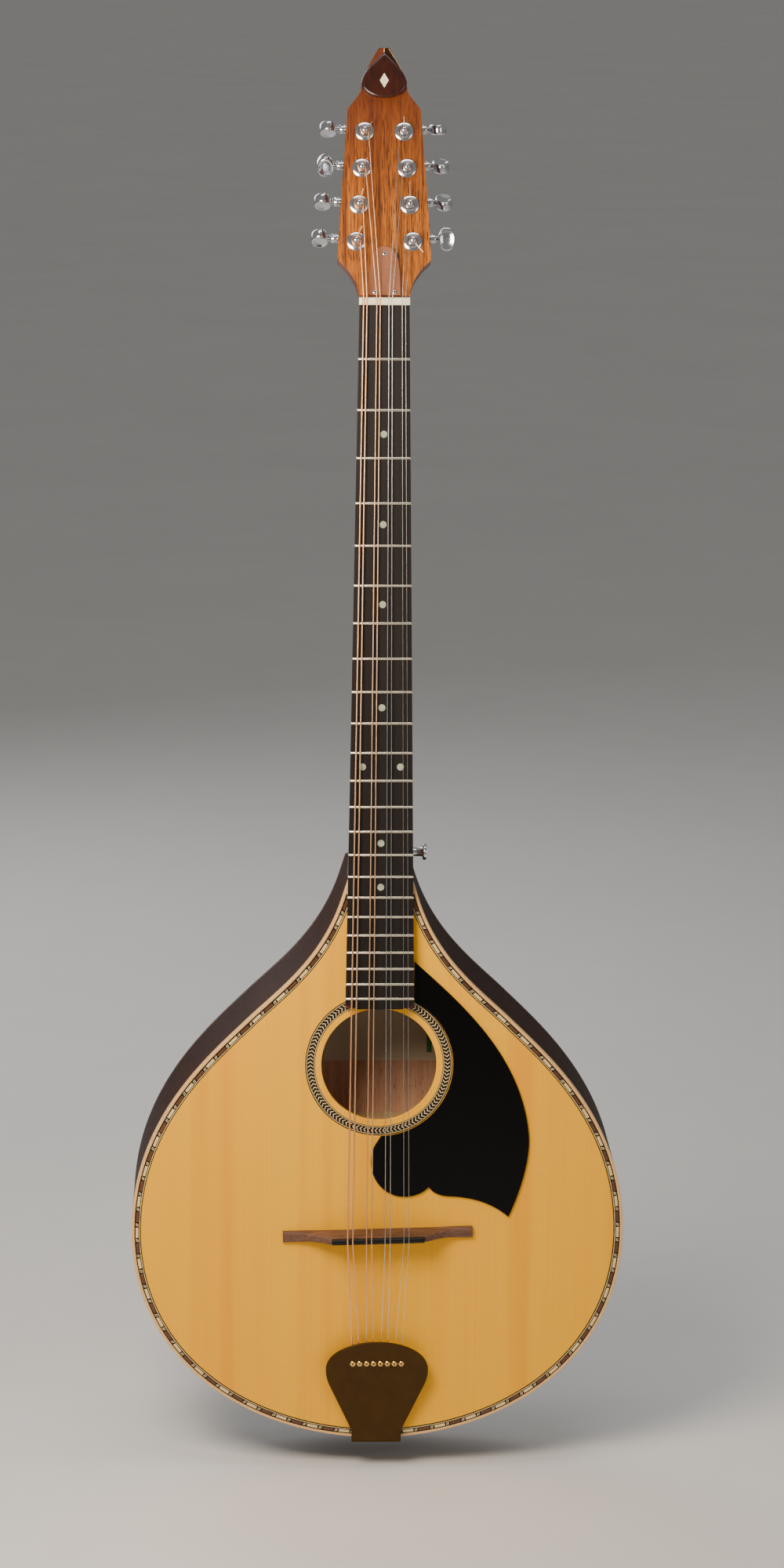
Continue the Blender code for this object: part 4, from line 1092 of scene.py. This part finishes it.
# %% Crest
def drop_half():
    points = bezier((0.0, 136.5), (9.0, 136.5), (15.4, 141.0), (15.4, 147.0), 16)
    points += bezier((15.4, 147.0), (14.5, 154.0), (7.5, 161.0), (0.0, 168.0), 16)
    return points + [(0.0, 168.0)]


def drop_section(share, front):
    """The drop's outline drawn in towards its middle, at a height over the face."""
    middle = 148.0
    return [(x * share, front, middle + (z - middle) * share)
            for x, z in mirrored(drop_half())]


drop = loft([drop_section(0.90, -0.2), drop_section(0.97, -1.6), drop_section(1.0, -3.2),
             drop_section(0.985, -4.3), drop_section(0.94, -4.85), drop_section(0.86, -5.0)])
add_piece("crest_drop", drop, HEAD, CREST_WOOD, stands_for=["headstock_crest"],
          crease=60)


def facet(side):
    """One sloping face from the ridge down to the spear's edge."""
    ridge = [(0.0, -3.0, 158.0), (0.0, -2.4, 171.2)]
    edge = [(side * 3.3, -0.2, 171.2), (side * 9.6, -0.2, 160.2), (side * 14.6, -0.2, 150.0)]
    foot = [(x, 0.0, z) for x, _, z in ridge + edge]
    return loft([ridge + edge, foot])


# Painted light and shade: the bass facet takes the pale walnut to look lit, the treble facet the
# dark rosewood to look shaded.
add_piece("crest_facet_bass", facet(-1), HEAD, WALNUT)
add_piece("crest_facet_treble", facet(1), HEAD, CREST_WOOD)
# Painted highlights: pale maple lines on the ridge and along the treble edge only, where light
# catches the crest.
ridge_line = loft([[(-0.25, -2.6 + d, z), (0.25, -2.6 + d, z), (0.25, -3.1 + d, z),
                    (-0.25, -3.1 + d, z)] for z, d in ((159.0, 0.0), (171.1, 0.5))])
edge_line = plate([[(15.0, 150.0), (9.9, 160.4), (3.5, 171.1), (3.2, 171.1), (9.5, 160.2),
                    (14.6, 150.0)]], -0.7, 0.0)
add_piece("crest_ridge", joined([ridge_line, edge_line]), HEAD, MAPLE)
diamond = plate([[(0.0, 143.0), (3.1, 148.2), (0.0, 153.4), (-3.1, 148.2)]], -5.05, -4.0)
add_piece("crest_diamond", diamond, HEAD, BONE, bevel=0.15)
print("crest made")

# %% [markdown]
# ## Tuning machines
#
# Each string has a machine: a worm on the knob's shaft turns a toothed wheel on the post,
# fourteen turns of the knob for one of the post. The gears run in a chromed box on the
# back. In front only a stepped bushing, the post with its string and the knob show. The
# eight machines are the same casting, mirrored for the bass side, so each part is drawn
# once by a function and placed eight times. Post and knob ride on their own bodies.

# %% Knob and shaft
SHAFT_OFFSET = 7.2
SHAFT_DEPTH = 21.8
KNOB_TURNS = (75, 80, 50, 83, 105, -57, -51, 15)   # how far each knob was left turned


def knob():
    """A dished oval knob on its worm shaft; the shaft runs along x from the gear box."""
    half_profile = [(0.0, 2.5), (2.6, 2.58), (4.6, 2.85), (5.8, 3.2), (6.5, 3.42), (7.1, 3.4),
                    (7.7, 3.0), (8.05, 2.3), (8.2, 1.2)]
    profile = half_profile + [(r, -z) for r, z in reversed(half_profile)]
    oval = turned(profile, 56)
    along_x = Matrix.Rotation(math.pi / 2, 4, "Y")
    stretch = Matrix.Diagonal((12.0 / 16.4, 1, 1, 1))
    stem = [(0.0, 20.5), (2.9, 20.2), (2.2, 18.9), (1.9, 17.6), (2.3, 17.2), (2.3, 16.9),
            (2.0, 16.7), (2.0, 6.4)]
    for turn in range(5):
        x = 4.6 - 2.2 * turn
        stem += [(1.5, x), (2.25, x - 0.7), (2.25, x - 1.1), (1.5, x - 1.8)]
    stem += [(1.5, -6.4), (0.0, -6.4)]
    return joined([(oval, move(24.1, 0, 0) @ stretch), (turned(stem, 28), along_x)])


def gear_box():
    """The box's shell, open towards the wood, with the grooved collar of the shaft."""
    def section(inset_by, y, corner):
        x0, x1 = -8.5 + inset_by, 8.5 - inset_by
        z0, z1 = -6.8 + inset_by, 11.6 - inset_by
        ring = []
        for cx, cz, start in ((x1, z1, 0), (x0, z1, 1), (x0, z0, 2), (x1, z0, 3)):
            sx, sz = (1 if cx == x1 else -1), (1 if cz == z1 else -1)
            for i in range(6):
                a = (start + i / 5) * math.pi / 2
                ring.append((cx - sx * corner + corner * math.cos(a), y,
                             cz - sz * corner + corner * math.sin(a)))
        return ring
    shell = loft([section(1.3, 27.0, 1.0), section(1.3, 15.3, 1.0), section(0.0, 15.3, 2.0),
                  section(0.0, 25.4, 2.0), section(0.35, 26.9, 2.3), section(1.2, 27.9, 2.6),
                  section(2.6, 28.3, 2.4)])
    collar = turned([(2.4, 7.4), (3.1, 7.4), (3.15, 13.0), (2.85, 13.3), (2.85, 13.8),
                     (3.15, 14.1), (3.15, 15.9), (2.8, 16.5), (2.4, 16.6)], 28, closed=True)
    collar.transform(Matrix.Rotation(math.pi / 2, 4, "Y"))
    return joined([shell, (collar, move(0, SHAFT_DEPTH, SHAFT_OFFSET))])


def bushing():
    """The threaded sleeve's washer and cone; its axis is the post's."""
    return turned([(3.2, 2.4), (3.9, 2.35), (4.3, 1.95), (4.5, 1.45), (5.9, 1.2), (6.4, 0.85),
                   (6.45, 0.3), (5.0, 0.3), (5.0, -14.6), (3.2, -14.6)], 40, closed=True)


def post_and_wheel():
    """Domed post with its waist, and the wheel with fourteen teeth in the gear box."""
    post = turned([(0.0, 8.4), (0.8, 8.32), (1.6, 8.0), (2.2, 7.4), (2.55, 6.6), (2.6, 6.1),
                   (2.4, 5.75), (2.2, 5.5), (2.2, 3.0), (2.5, 2.7), (2.9, 2.5), (2.9, -26.2),
                   (0.0, -26.2)], 32)
    rim = []
    for i in range(56):
        a = 2 * math.pi * i / 56
        radius = 4.7 if i % 4 in (0, 1) else 4.0
        rim.append((radius * math.cos(a), radius * math.sin(a)))
    wheel = loft([[(x, y, z) for x, y in rim] for z in (-SHAFT_DEPTH - 2.3, -SHAFT_DEPTH + 2.3)])
    return joined([post, wheel])


MIRROR = Matrix.Diagonal((-1, 1, 1, 1))
for number in range(1, 9):
    x, z = post_place(number)
    side = MIRROR if number <= 4 else Matrix.Identity(4)
    here = HEAD @ shift(x, 0, z)
    turn = Matrix.Rotation(math.pi / 2 + math.radians(KNOB_TURNS[number - 1]), 4, "X")
    shaft = HEAD @ shift(x, SHAFT_DEPTH, z + SHAFT_OFFSET) @ turn
    add_piece("tuner_knob_%d" % number, joined([(knob(), side)]), shaft, CHROME,
              body="button_%d" % number, stands_for=["tuner_button_%d" % number])
    add_piece("gear_box_%d" % number, joined([(gear_box(), side)]), here, CHROME,
              stands_for=["tuner_housing_%d" % number])
    add_piece("post_bushing_%d" % number, bushing(), here @ OUTWARDS, CHROME,
              stands_for=["tuner_bushing_%d" % number])
    add_piece("wound_post_%d" % number, post_and_wheel(), here @ OUTWARDS, CHROME,
              body="post_%d" % number, stands_for=["string_post_%d" % number])
print("machines:", 8)

# %% Box screws and plates on the back
box_places = []
for number in range(1, 9):
    x, z = post_place(number)
    box_places += [(x, 28.3, z - 3.6), (x, 28.3, z + 8.4)]
back_head = joined([(turned([(0.0, 0.55), (1.2, 0.45), (1.7, 0.1), (1.7, -0.3), (0.0, -0.3)], 16),
                     Matrix.Rotation(-math.pi / 2, 4, "X"))])
box_screws = grown(SCATTER, guide_points(box_places), Finish=CUT_STEEL,
                   Unit=helper_object("box_screw", back_head))
add_piece("gear_box_rivets", box_screws, HEAD, CUT_STEEL)
print("rivets:", len(box_places))

# %% [markdown]
# ## Bridge and saddle
#
# The bridge is not glued: the strings hold it down. It is carved from rosewood, with low
# flat feet and a tall middle, joined by deep scoops, and it stands a little askew because
# thicker strings need to be longer. A black strip on top is what the strings cross. Key
# sections are listed and a Catmull-Rom curve through them gives the sections
# between, so the scoops come out hollow and smooth.

# %% Bridge
BRIDGE_Z = 151.0
BRIDGE_SLANT = math.radians(1.6)
BRIDGE = BODY @ shift(0, 0, BRIDGE_Z) @ Matrix.Rotation(-BRIDGE_SLANT, 4, "Y")
BRIDGE_KEYS = ((66.5, 8.0, 7.0, 3.0), (62.0, 8.0, 6.8, 3.2), (57.0, 8.0, 6.6, 3.3),
               (52.0, 8.0, 5.6, 4.4), (46.0, 7.6, 4.7, 7.0), (40.0, 7.4, 4.3, 10.8),
               (35.5, 7.4, 4.2, 14.0), (33.0, 7.4, 4.2, 15.3), (30.0, 7.4, 4.2, 15.4),
               (0.0, 7.4, 4.2, 15.4))


def between(keys, x):
    """Catmull-Rom values at x from rows of (x, values...) that run from high to low x."""
    rows = list(keys)
    place = max(i for i in range(len(rows)) if rows[i][0] >= x)
    picks = [rows[min(max(place + k, 0), len(rows) - 1)] for k in (-1, 0, 1, 2)]
    span = picks[1][0] - picks[2][0]
    t = (picks[1][0] - x) / span if span else 0.0
    weights = (-t / 2 + t * t - t ** 3 / 2, 1 - 2.5 * t * t + 1.5 * t ** 3,
               t / 2 + 2 * t * t - 1.5 * t ** 3, -t * t / 2 + t ** 3 / 2)
    return [sum(w * row[k] for w, row in zip(weights, picks)) for k in (1, 2, 3)]


def bridge_section(x):
    base, top, height = between(BRIDGE_KEYS, abs(x))
    side = [(-base / 2, -0.05), (-base / 2, -1.2), (-top / 2 - 0.25, -height + 0.8),
            (-top / 2, -height + 0.25), (-top / 2 + 0.35, -height)]
    ring = side + [(-z, y) for z, y in reversed(side)]
    return [(x, y, z) for z, y in ring]


stations = [-66.5 + 133.0 * i / 120 for i in range(121)]
add_piece("rosewood_bridge", loft([bridge_section(x) for x in stations]), BRIDGE,
          OILED_ROSEWOOD, stands_for=["bridge"], crease=50)
saddle_ring = [(-2.1, -15.4), (2.1, -15.4), (2.1, -17.7), (1.7, -18.4), (0.9, -18.9),
               (-0.9, -18.9), (-1.7, -18.4), (-2.1, -17.7)]
saddle = loft([[(x, y, z) for z, y in saddle_ring] for x in (-32.3, 32.3)])
add_piece("saddle_strip", saddle, BRIDGE, BLACK_SADDLE,
          stands_for=["bridge_saddle"], bevel=0.3)
print("bridge sections:", len(stations))

# %% [markdown]
# ## Tailpiece
#
# The strings pull on a brass plate that hooks over the tail. It is sawn to a shield, rises
# a little towards the bridge, and has a dark patina. Each string's ball end, a small
# turned brass ring, sits in its hole. The plate bends over the edge and is screwed to the
# tail block.

# %% Tailpiece
PLATE_RISE = math.radians(5.5)
PLATE_FOOT = 3.6
PLATE = BODY @ shift(0, -PLATE_FOOT, 0) @ Matrix.Rotation(PLATE_RISE, 4, "X")
BALL_Z = 58.9
BALL_X = [(n - 4.5) * 4.87 for n in range(1, 9)]


def shield_half():
    points = bezier((0.0, 75.0), (19.0, 75.0), (36.0, 67.0), (36.0, 54.0), 26)
    points += bezier((36.0, 54.0), (36.0, 48.0), (34.0, 43.5), (32.3, 39.8), 10)
    points += [(32.3 - 12.7 * t, 39.8 - 27.8 * t) for t in (0.0, 0.5)]
    points += bezier((19.6, 12.0), (18.2, 9.0), (17.4, 7.0), (17.4, 3.0), 10)
    return list(reversed(points + [(17.4, 3.0), (17.4, -0.4), (0.0, -0.4)]))


ball_holes = [circle((x, BALL_Z / math.cos(PLATE_RISE)), 1.3, 12) for x in BALL_X]
shield = plate([mirrored(shield_half())] + ball_holes, -1.0, 1.0)
plate_in_body = Matrix.Scale(1 / MM, 4) @ BODY.inverted() @ PLATE @ Matrix.Scale(MM, 4)
hook = plate([[(-17.3, -2.3), (17.3, -2.3), (17.3, -0.3), (-17.3, -0.3)]], -3.3, 42.0)
add_piece("brass_tailpiece", joined([(shield, plate_in_body), hook]), BODY, DARK_BRASS,
          stands_for=["tailpiece"], bevel=0.5)


def ball_ring():
    """A ball end: a short brass bobbin with a waist and a bore."""
    bobbin = turned([(0.75, 0.9), (1.7, 0.9), (2.0, 0.6), (1.85, 0.1), (1.85, -0.3), (0.75, -0.5)],
                    18, closed=True)
    return joined([(bobbin, OUTWARDS)])


ball_places = [(x, -1.35, BALL_Z / math.cos(PLATE_RISE)) for x in BALL_X]
balls = grown(SCATTER, guide_points(ball_places), Unit=helper_object("ball", ball_ring()),
              Finish=BRASS)
add_piece("ball_ends", balls, PLATE, BRASS)
tail_head = joined([(screw_head(), move(0, 0, 1.0) @ Matrix.Rotation(math.pi / 2, 4, "X"))])
tail_screws = grown(SCATTER, guide_points([(-11.0, 14.0, -2.3), (11.0, 14.0, -2.3),
                                           (-11.0, 32.0, -2.3), (11.0, 32.0, -2.3)]),
                    Unit=helper_object("tail_screw", tail_head), Finish=CUT_STEEL)
add_piece("tail_screws", tail_screws, BODY, CUT_STEEL)
print("ball ends:", len(ball_places))

# %% [markdown]
# ## Strings
#
# The strings run in pairs from ball end to post. The four on the left are bronze wound on
# steel, the four on the right plain steel. A wire follows a path, so a tree sweeps a circle
# along a guide polyline and caps it. At the posts the same radius is wound into a helix by
# the spiral node, two to four turns, and ends in a short snipped tail. The windings ride
# on the post, so they turn with it.

# %% Sweep and winding trees
def wire_along_path():
    tree, given = new_tree("wire_along_path", [
        ("Wire Radius", "Float"), ("Sides", "Int"), ("Finish", "Material")])
    path = add_node(tree, "GeometryNodeMeshToCurve", None, {"Mesh": given["Geometry"]})
    circle_node = add_node(tree, "GeometryNodeCurvePrimitiveCircle", None, {
        "Resolution": given["Sides"], "Radius": given["Wire Radius"]})
    swept = add_node(tree, "GeometryNodeCurveToMesh", None, {
        "Curve": path.outputs[0], "Profile Curve": circle_node.outputs[0], "Fill Caps": True})
    return end_tree(tree, swept.outputs[0], given["Finish"])


def winding():
    tree, given = new_tree("winding", [
        ("Turns", "Float"), ("Coil Radius", "Float"), ("Rise", "Float"),
        ("Wire Radius", "Float"), ("Finish", "Material")])
    coil = add_node(tree, "GeometryNodeCurveSpiral", None, {
        "Resolution": 32, "Rotations": given["Turns"], "Start Radius": given["Coil Radius"],
        "End Radius": given["Coil Radius"], "Height": given["Rise"]})
    circle_node = add_node(tree, "GeometryNodeCurvePrimitiveCircle", None, {
        "Resolution": 8, "Radius": given["Wire Radius"]})
    swept = add_node(tree, "GeometryNodeCurveToMesh", None, {
        "Curve": coil.outputs[0], "Profile Curve": circle_node.outputs[0], "Fill Caps": True})
    return end_tree(tree, swept.outputs[0], given["Finish"])


def guide_line(points):
    bm = bmesh.new()
    verts = [bm.verts.new(p) for p in points]
    for a, b in zip(verts, verts[1:]):
        bm.edges.new((a, b))
    return bm


WIRE = wire_along_path()
WINDING = winding()
print("wire trees ready")

# %% Strings from ball end to post
STRING_OVER_NUT = 1.6
WRAP_HEIGHT = 4.0
POST_WAIST = 2.2


def string_route(number):
    """Under the plate, over the bridge and the nut, to the inner side of the post."""
    radius = STRING_RADII[number - 1]
    hole_x = BALL_X[number - 1]
    plate_y = -PLATE_FOOT - BALL_Z * math.tan(PLATE_RISE)
    under = plate_y + 1.0 + 0.8 + radius
    bridge_x = BRIDGE_X[number - 1]
    bridge_z = BRIDGE_Z + bridge_x * math.tan(BRIDGE_SLANT)
    bridge_y = -19.0 - radius
    route = [(hole_x, plate_y, BALL_Z), (hole_x, under, BALL_Z + 0.8),
             (hole_x, under, BALL_Z + 2.4)]
    route += [(bridge_x, bridge_y + abs(dz) * 0.05, bridge_z + dz) for dz in (-2.0, 0.0, 2.0)]
    nut_x = NUT_X[number - 1]
    for along, above in ((-0.5, 0.0), (2.5, 0.05), (5.0, -0.15)):
        z = NUT_Z + along
        route.append((nut_x, fingerboard_y(z) - STRING_OVER_NUT - above, z))
    x, z = post_place(number)
    inner = (POST_WAIST + radius) * (1 if number <= 4 else -1)
    route.append(tuple(HEAD_FROM_BODY @ Vector((x + inner, -WRAP_HEIGHT, z))))
    return route


for number in range(1, 9):
    radius = STRING_RADII[number - 1]
    stuff, slot_name = (BRONZE, "bronze_wire") if number <= 4 else (STEEL, "steel")
    wire = grown(WIRE, guide_line(string_route(number)), **{
        "Wire Radius": radius, "Sides": 12, "Finish": stuff})
    add_piece("string_wire_%d" % number, wire, BODY, stuff,
              stands_for=["string_%d" % number])
print("strings: 8")

# %% Windings on the posts
TAILS = ((68, 8.0), (73, 8.0), (56, 5.0), (46, 5.5), (90, 7.0), (60, 2.0), (90, 13.0), (-50, 8.5))
for number in range(1, 9):
    x, z = post_place(number)
    radius = STRING_RADII[number - 1]
    stuff, slot_name = (BRONZE, "bronze_wire") if number <= 4 else (STEEL, "steel")
    turns = min(4.0, 2.3 / (2.1 * radius))
    rise = turns * 2.1 * radius
    coil = grown(WINDING, bmesh.new(), **{
        "Turns": turns, "Coil Radius": POST_WAIST + radius, "Rise": rise,
        "Wire Radius": radius, "Finish": stuff})
    coil.transform(move(0, 0, 4.2 - rise / 2))
    angle, length = TAILS[number - 1]
    way = Vector((math.cos(math.radians(angle)), math.sin(math.radians(angle)), 0.0))
    start = way * (POST_WAIST - 0.6) + Vector((0, 0, 4.4))
    bend = way * (POST_WAIST + 1.2) + Vector((0, 0, 4.6))
    end = way * (POST_WAIST + length) + Vector((0, 0, 5.4))
    tail = grown(WIRE, guide_line([start, bend, end]), **{
        "Wire Radius": radius, "Sides": 8, "Finish": stuff})
    add_piece("string_winding_%d" % number, joined([coil, tail]), HEAD @ shift(x, 0, z) @ OUTWARDS,
              stuff, body="post_%d" % number)
print("windings: 8")

# %% [markdown]
# ## Inside the sound hole
#
# Through the hole one sees the bare back, two braces across it, the
# maker's label, and the bars and blocks. The linings are kerfed: sawn almost through every
# few millimetres so that they bend to the sides. That is again a unit along a path.

# %% Linings, braces and blocks
def wedge(low, high):
    """A kerfed block with its bevel towards the inside; y runs from low to high."""
    bm = loft([[(x, low, 0.0), (x, high, 0.0), (x, high, 1.2), (x, low, 5.0)]
               for x in (-3.0, 3.0)])
    return helper_object("wedge", bm)


LINING_STEPS = 170
lining_loop = inset(OUTLINE, BINDING_WIDTH + 0.1)
front_blocks = grown(ROW, guide_loop(lining_loop, 0.0), Unit=wedge(3.1, 15.0),
                     Count=LINING_STEPS, Shift=0.0, Finish=BARE_WOOD)
add_piece("front_lining", front_blocks, BODY, BARE_WOOD)
back_blocks = grown(ROW, guide_loop(lining_loop, 0.0), Unit=wedge(81.9, 70.0),
                    Count=LINING_STEPS, Shift=0.0, Finish=BARE_WOOD)
add_piece("back_lining", back_blocks, BODY, BARE_WOOD)


def rounded_bar(half_length, low, high, z, width):
    """A planed bar across the body, its ends scalloped down."""
    rings = []
    for share, size in ((-1.0, 0.35), (-0.86, 0.5), (-0.72, 1.0), (0.72, 1.0), (0.86, 0.5),
                        (1.0, 0.35)):
        far = low + (high - low) * size
        x = share * half_length
        rings.append([(x, low, z), (x, low, z + width), (x, far, z + width * 0.8),
                      (x, far, z + width * 0.2)])
    return loft(rings)


def room_at(z):
    """Half the body's inner width above the height z, at its narrowest within a brace."""
    within = [x for x, height in inset(OUTLINE, 8.0) if x > 0 and z - 3 < height < z + 14]
    return min(within)


for name, low, high, z, width in (("top_brace", 3.1, 17.3, 221.0, 7.0),
                                  ("back_brace_low", 81.9, 68.0, 207.0, 9.0),
                                  ("back_brace_high", 81.9, 68.0, 330.0, 9.0)):
    add_piece(name, rounded_bar(room_at(z), low, high, z, width), BODY, BARE_WOOD,
              bevel=0.6)
heel_block = plate([[(-20, 363), (20, 363), (20, 403), (-20, 403)]], 3.3, 81.6)
add_piece("heel_block", heel_block, BODY, MAHOGANY, stands_for=["neck_block"],
          bevel=1.2)
end_block = plate([[(-30, 5.4), (30, 5.4), (30, 25.4), (-30, 25.4)]], 3.3, 81.6)
add_piece("end_block", end_block, BODY, MAHOGANY, stands_for=["tail_block"],
          bevel=1.2)
print("linings:", 2 * LINING_STEPS, "blocks")

# %% Bare inside of the back, and the label
inner_skin = plate([inset(OUTLINE, 3.0)], BACK_FRONT - 0.35, BACK_FRONT + 0.1)
add_piece("bare_back_inside", inner_skin, BODY, RAW_BACK)
label = plate([[(-37, 254), (43, 254), (43, 310), (-37, 310)]], BACK_FRONT - 0.6,
              BACK_FRONT - 0.4)
add_piece("paper_label", label, BODY, PAPER)
ink_bar = plate([[(36.5, 260), (40, 260), (40, 290), (36.5, 290)]], BACK_FRONT - 0.7,
                BACK_FRONT - 0.5)
add_piece("label_bar", ink_bar, BODY, GREEN_INK)
print("inside made")

# %% [markdown]
# ## Nodes of the frame that still show
#
# Nearly every node of the frame now has a finer piece in its place. What is left keeps its
# own mesh and gets a proper finish.

# %% Finish what is left of the frame
for name, node in frame["nodes"].items():
    if not node.hide_render:
        node.data.materials.clear()
        node.data.materials.append(CUT_STEEL)
        print("shown as packed:", name)
for helper in [o for o in SCENE.objects if o.type == "MESH" and not o.get("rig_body")]:
    bpy.data.objects.remove(helper, do_unlink=True)

# %% [markdown]
# ## Floor, light and camera
#
# The instrument hangs over a wide pale floor. A warm softbox on the left, level with the
# nut, does most of the work: it is close enough that the top grows darker towards the
# tail. A weaker one on the right fills the shadows, a strip above draws edges, one behind
# shows the back, and the sky gives the rest. Soft, large lights suit varnish and chrome,
# which show their shapes as reflections.

# %% Floor
FLOOR_GAP = 0.02                # the instrument hangs this far over the floor
FLOOR_RADIUS = 45.0
floor_z = cad_box[0].z - FLOOR_GAP
ground = bmesh.new()
bmesh.ops.create_circle(ground, cap_ends=True, segments=96, radius=FLOOR_RADIUS)
bmesh.ops.translate(ground, vec=(0, 0, floor_z), verts=ground.verts)
floor_mesh = bpy.data.meshes.new("pale_floor")
ground.to_mesh(floor_mesh)
ground.free()
floor_paint = finish("pale_seamless_paper", "#e9e8e6", "#e3e2e0", (300.0, 300.0, 300.0),
                     roughness=0.9)
floor_mesh.materials.append(floor_paint)
floor = bpy.data.objects.new("pale_floor", floor_mesh)
SCENE.collection.objects.link(floor)
print("floor at %.3f m" % floor_z)

# %% Lights
def add_softbox(name, place, target, size, watts, tint="#ffffff"):
    data = bpy.data.lights.new(name, "AREA")
    data.shape = "RECTANGLE"
    data.size, data.size_y = size
    data.energy = watts
    data.color = linear(tint)[:3]
    lamp = bpy.data.objects.new(name, data)
    lamp.location = place
    lamp.rotation_euler = (Vector(target) - Vector(place)).to_track_quat("-Z", "Y").to_euler()
    SCENE.collection.objects.link(lamp)
    return lamp


add_softbox("key_softbox", (-0.34, -0.56, 0.02), (0.0, 0.0, -0.35), (0.4, 0.4), 10.0,
            "#ffefdc")
add_softbox("fill_softbox", (1.5, -1.6, 0.1), (0.0, 0.0, -0.4), (0.9, 0.9), 5.5, "#fff4e8")
add_softbox("top_strip", (0.1, -0.3, 1.2), (0.0, 0.0, 0.0), (1.2, 0.3), 6.0)
add_softbox("back_softbox", (-0.8, 1.7, 0.6), (0.0, 0.0, -0.4), (1.2, 1.2), 14.0)
sky = bpy.data.worlds.new("studio_sky")
sky.use_nodes = True
sky.node_tree.nodes["Background"].inputs["Color"].default_value = linear("#e4e2df")
sky.node_tree.nodes["Background"].inputs["Strength"].default_value = 0.30
SCENE.world = sky
print("lights:", len(bpy.data.lights))

# %% Camera
CAMERA_PLACE = (-0.0918, -3.0315, 0.3202)
CAMERA_YAW = math.radians(1.93)
CAMERA_PITCH = math.radians(12.23)
CAMERA_ROLL = math.radians(0.69)
INSTRUMENT_TILT = math.radians(0.19)
LENS_LENGTH = 103.05            # mm, on a sensor 36 mm wide
lens = bpy.data.cameras.new("studio_camera")
lens.lens = LENS_LENGTH
lens.sensor_width = 36.0
lens.clip_start = 0.1
lens.clip_end = 200.0
camera = bpy.data.objects.new("studio_camera", lens)
forward = Vector((math.sin(CAMERA_YAW) * math.cos(CAMERA_PITCH),
                  math.cos(CAMERA_YAW) * math.cos(CAMERA_PITCH), -math.sin(CAMERA_PITCH)))
right = Vector((math.cos(CAMERA_YAW), -math.sin(CAMERA_YAW), 0.0))
up = right.cross(forward)
right, up = (right * math.cos(CAMERA_ROLL) + up * math.sin(CAMERA_ROLL),
             up * math.cos(CAMERA_ROLL) - right * math.sin(CAMERA_ROLL))
turned_view = Matrix((right, up, -forward)).transposed()
camera.matrix_world = (Matrix.Translation(CAMERA_PLACE)
                       @ (Matrix.Rotation(INSTRUMENT_TILT, 3, "Y") @ turned_view).to_4x4())
SCENE.collection.objects.link(camera)
SCENE.camera = camera
print("lens: %.1f mm" % lens.lens)

# %% Sizes, and the last line
bpy.context.view_layer.update()
print("pieces:", len(PIECES))
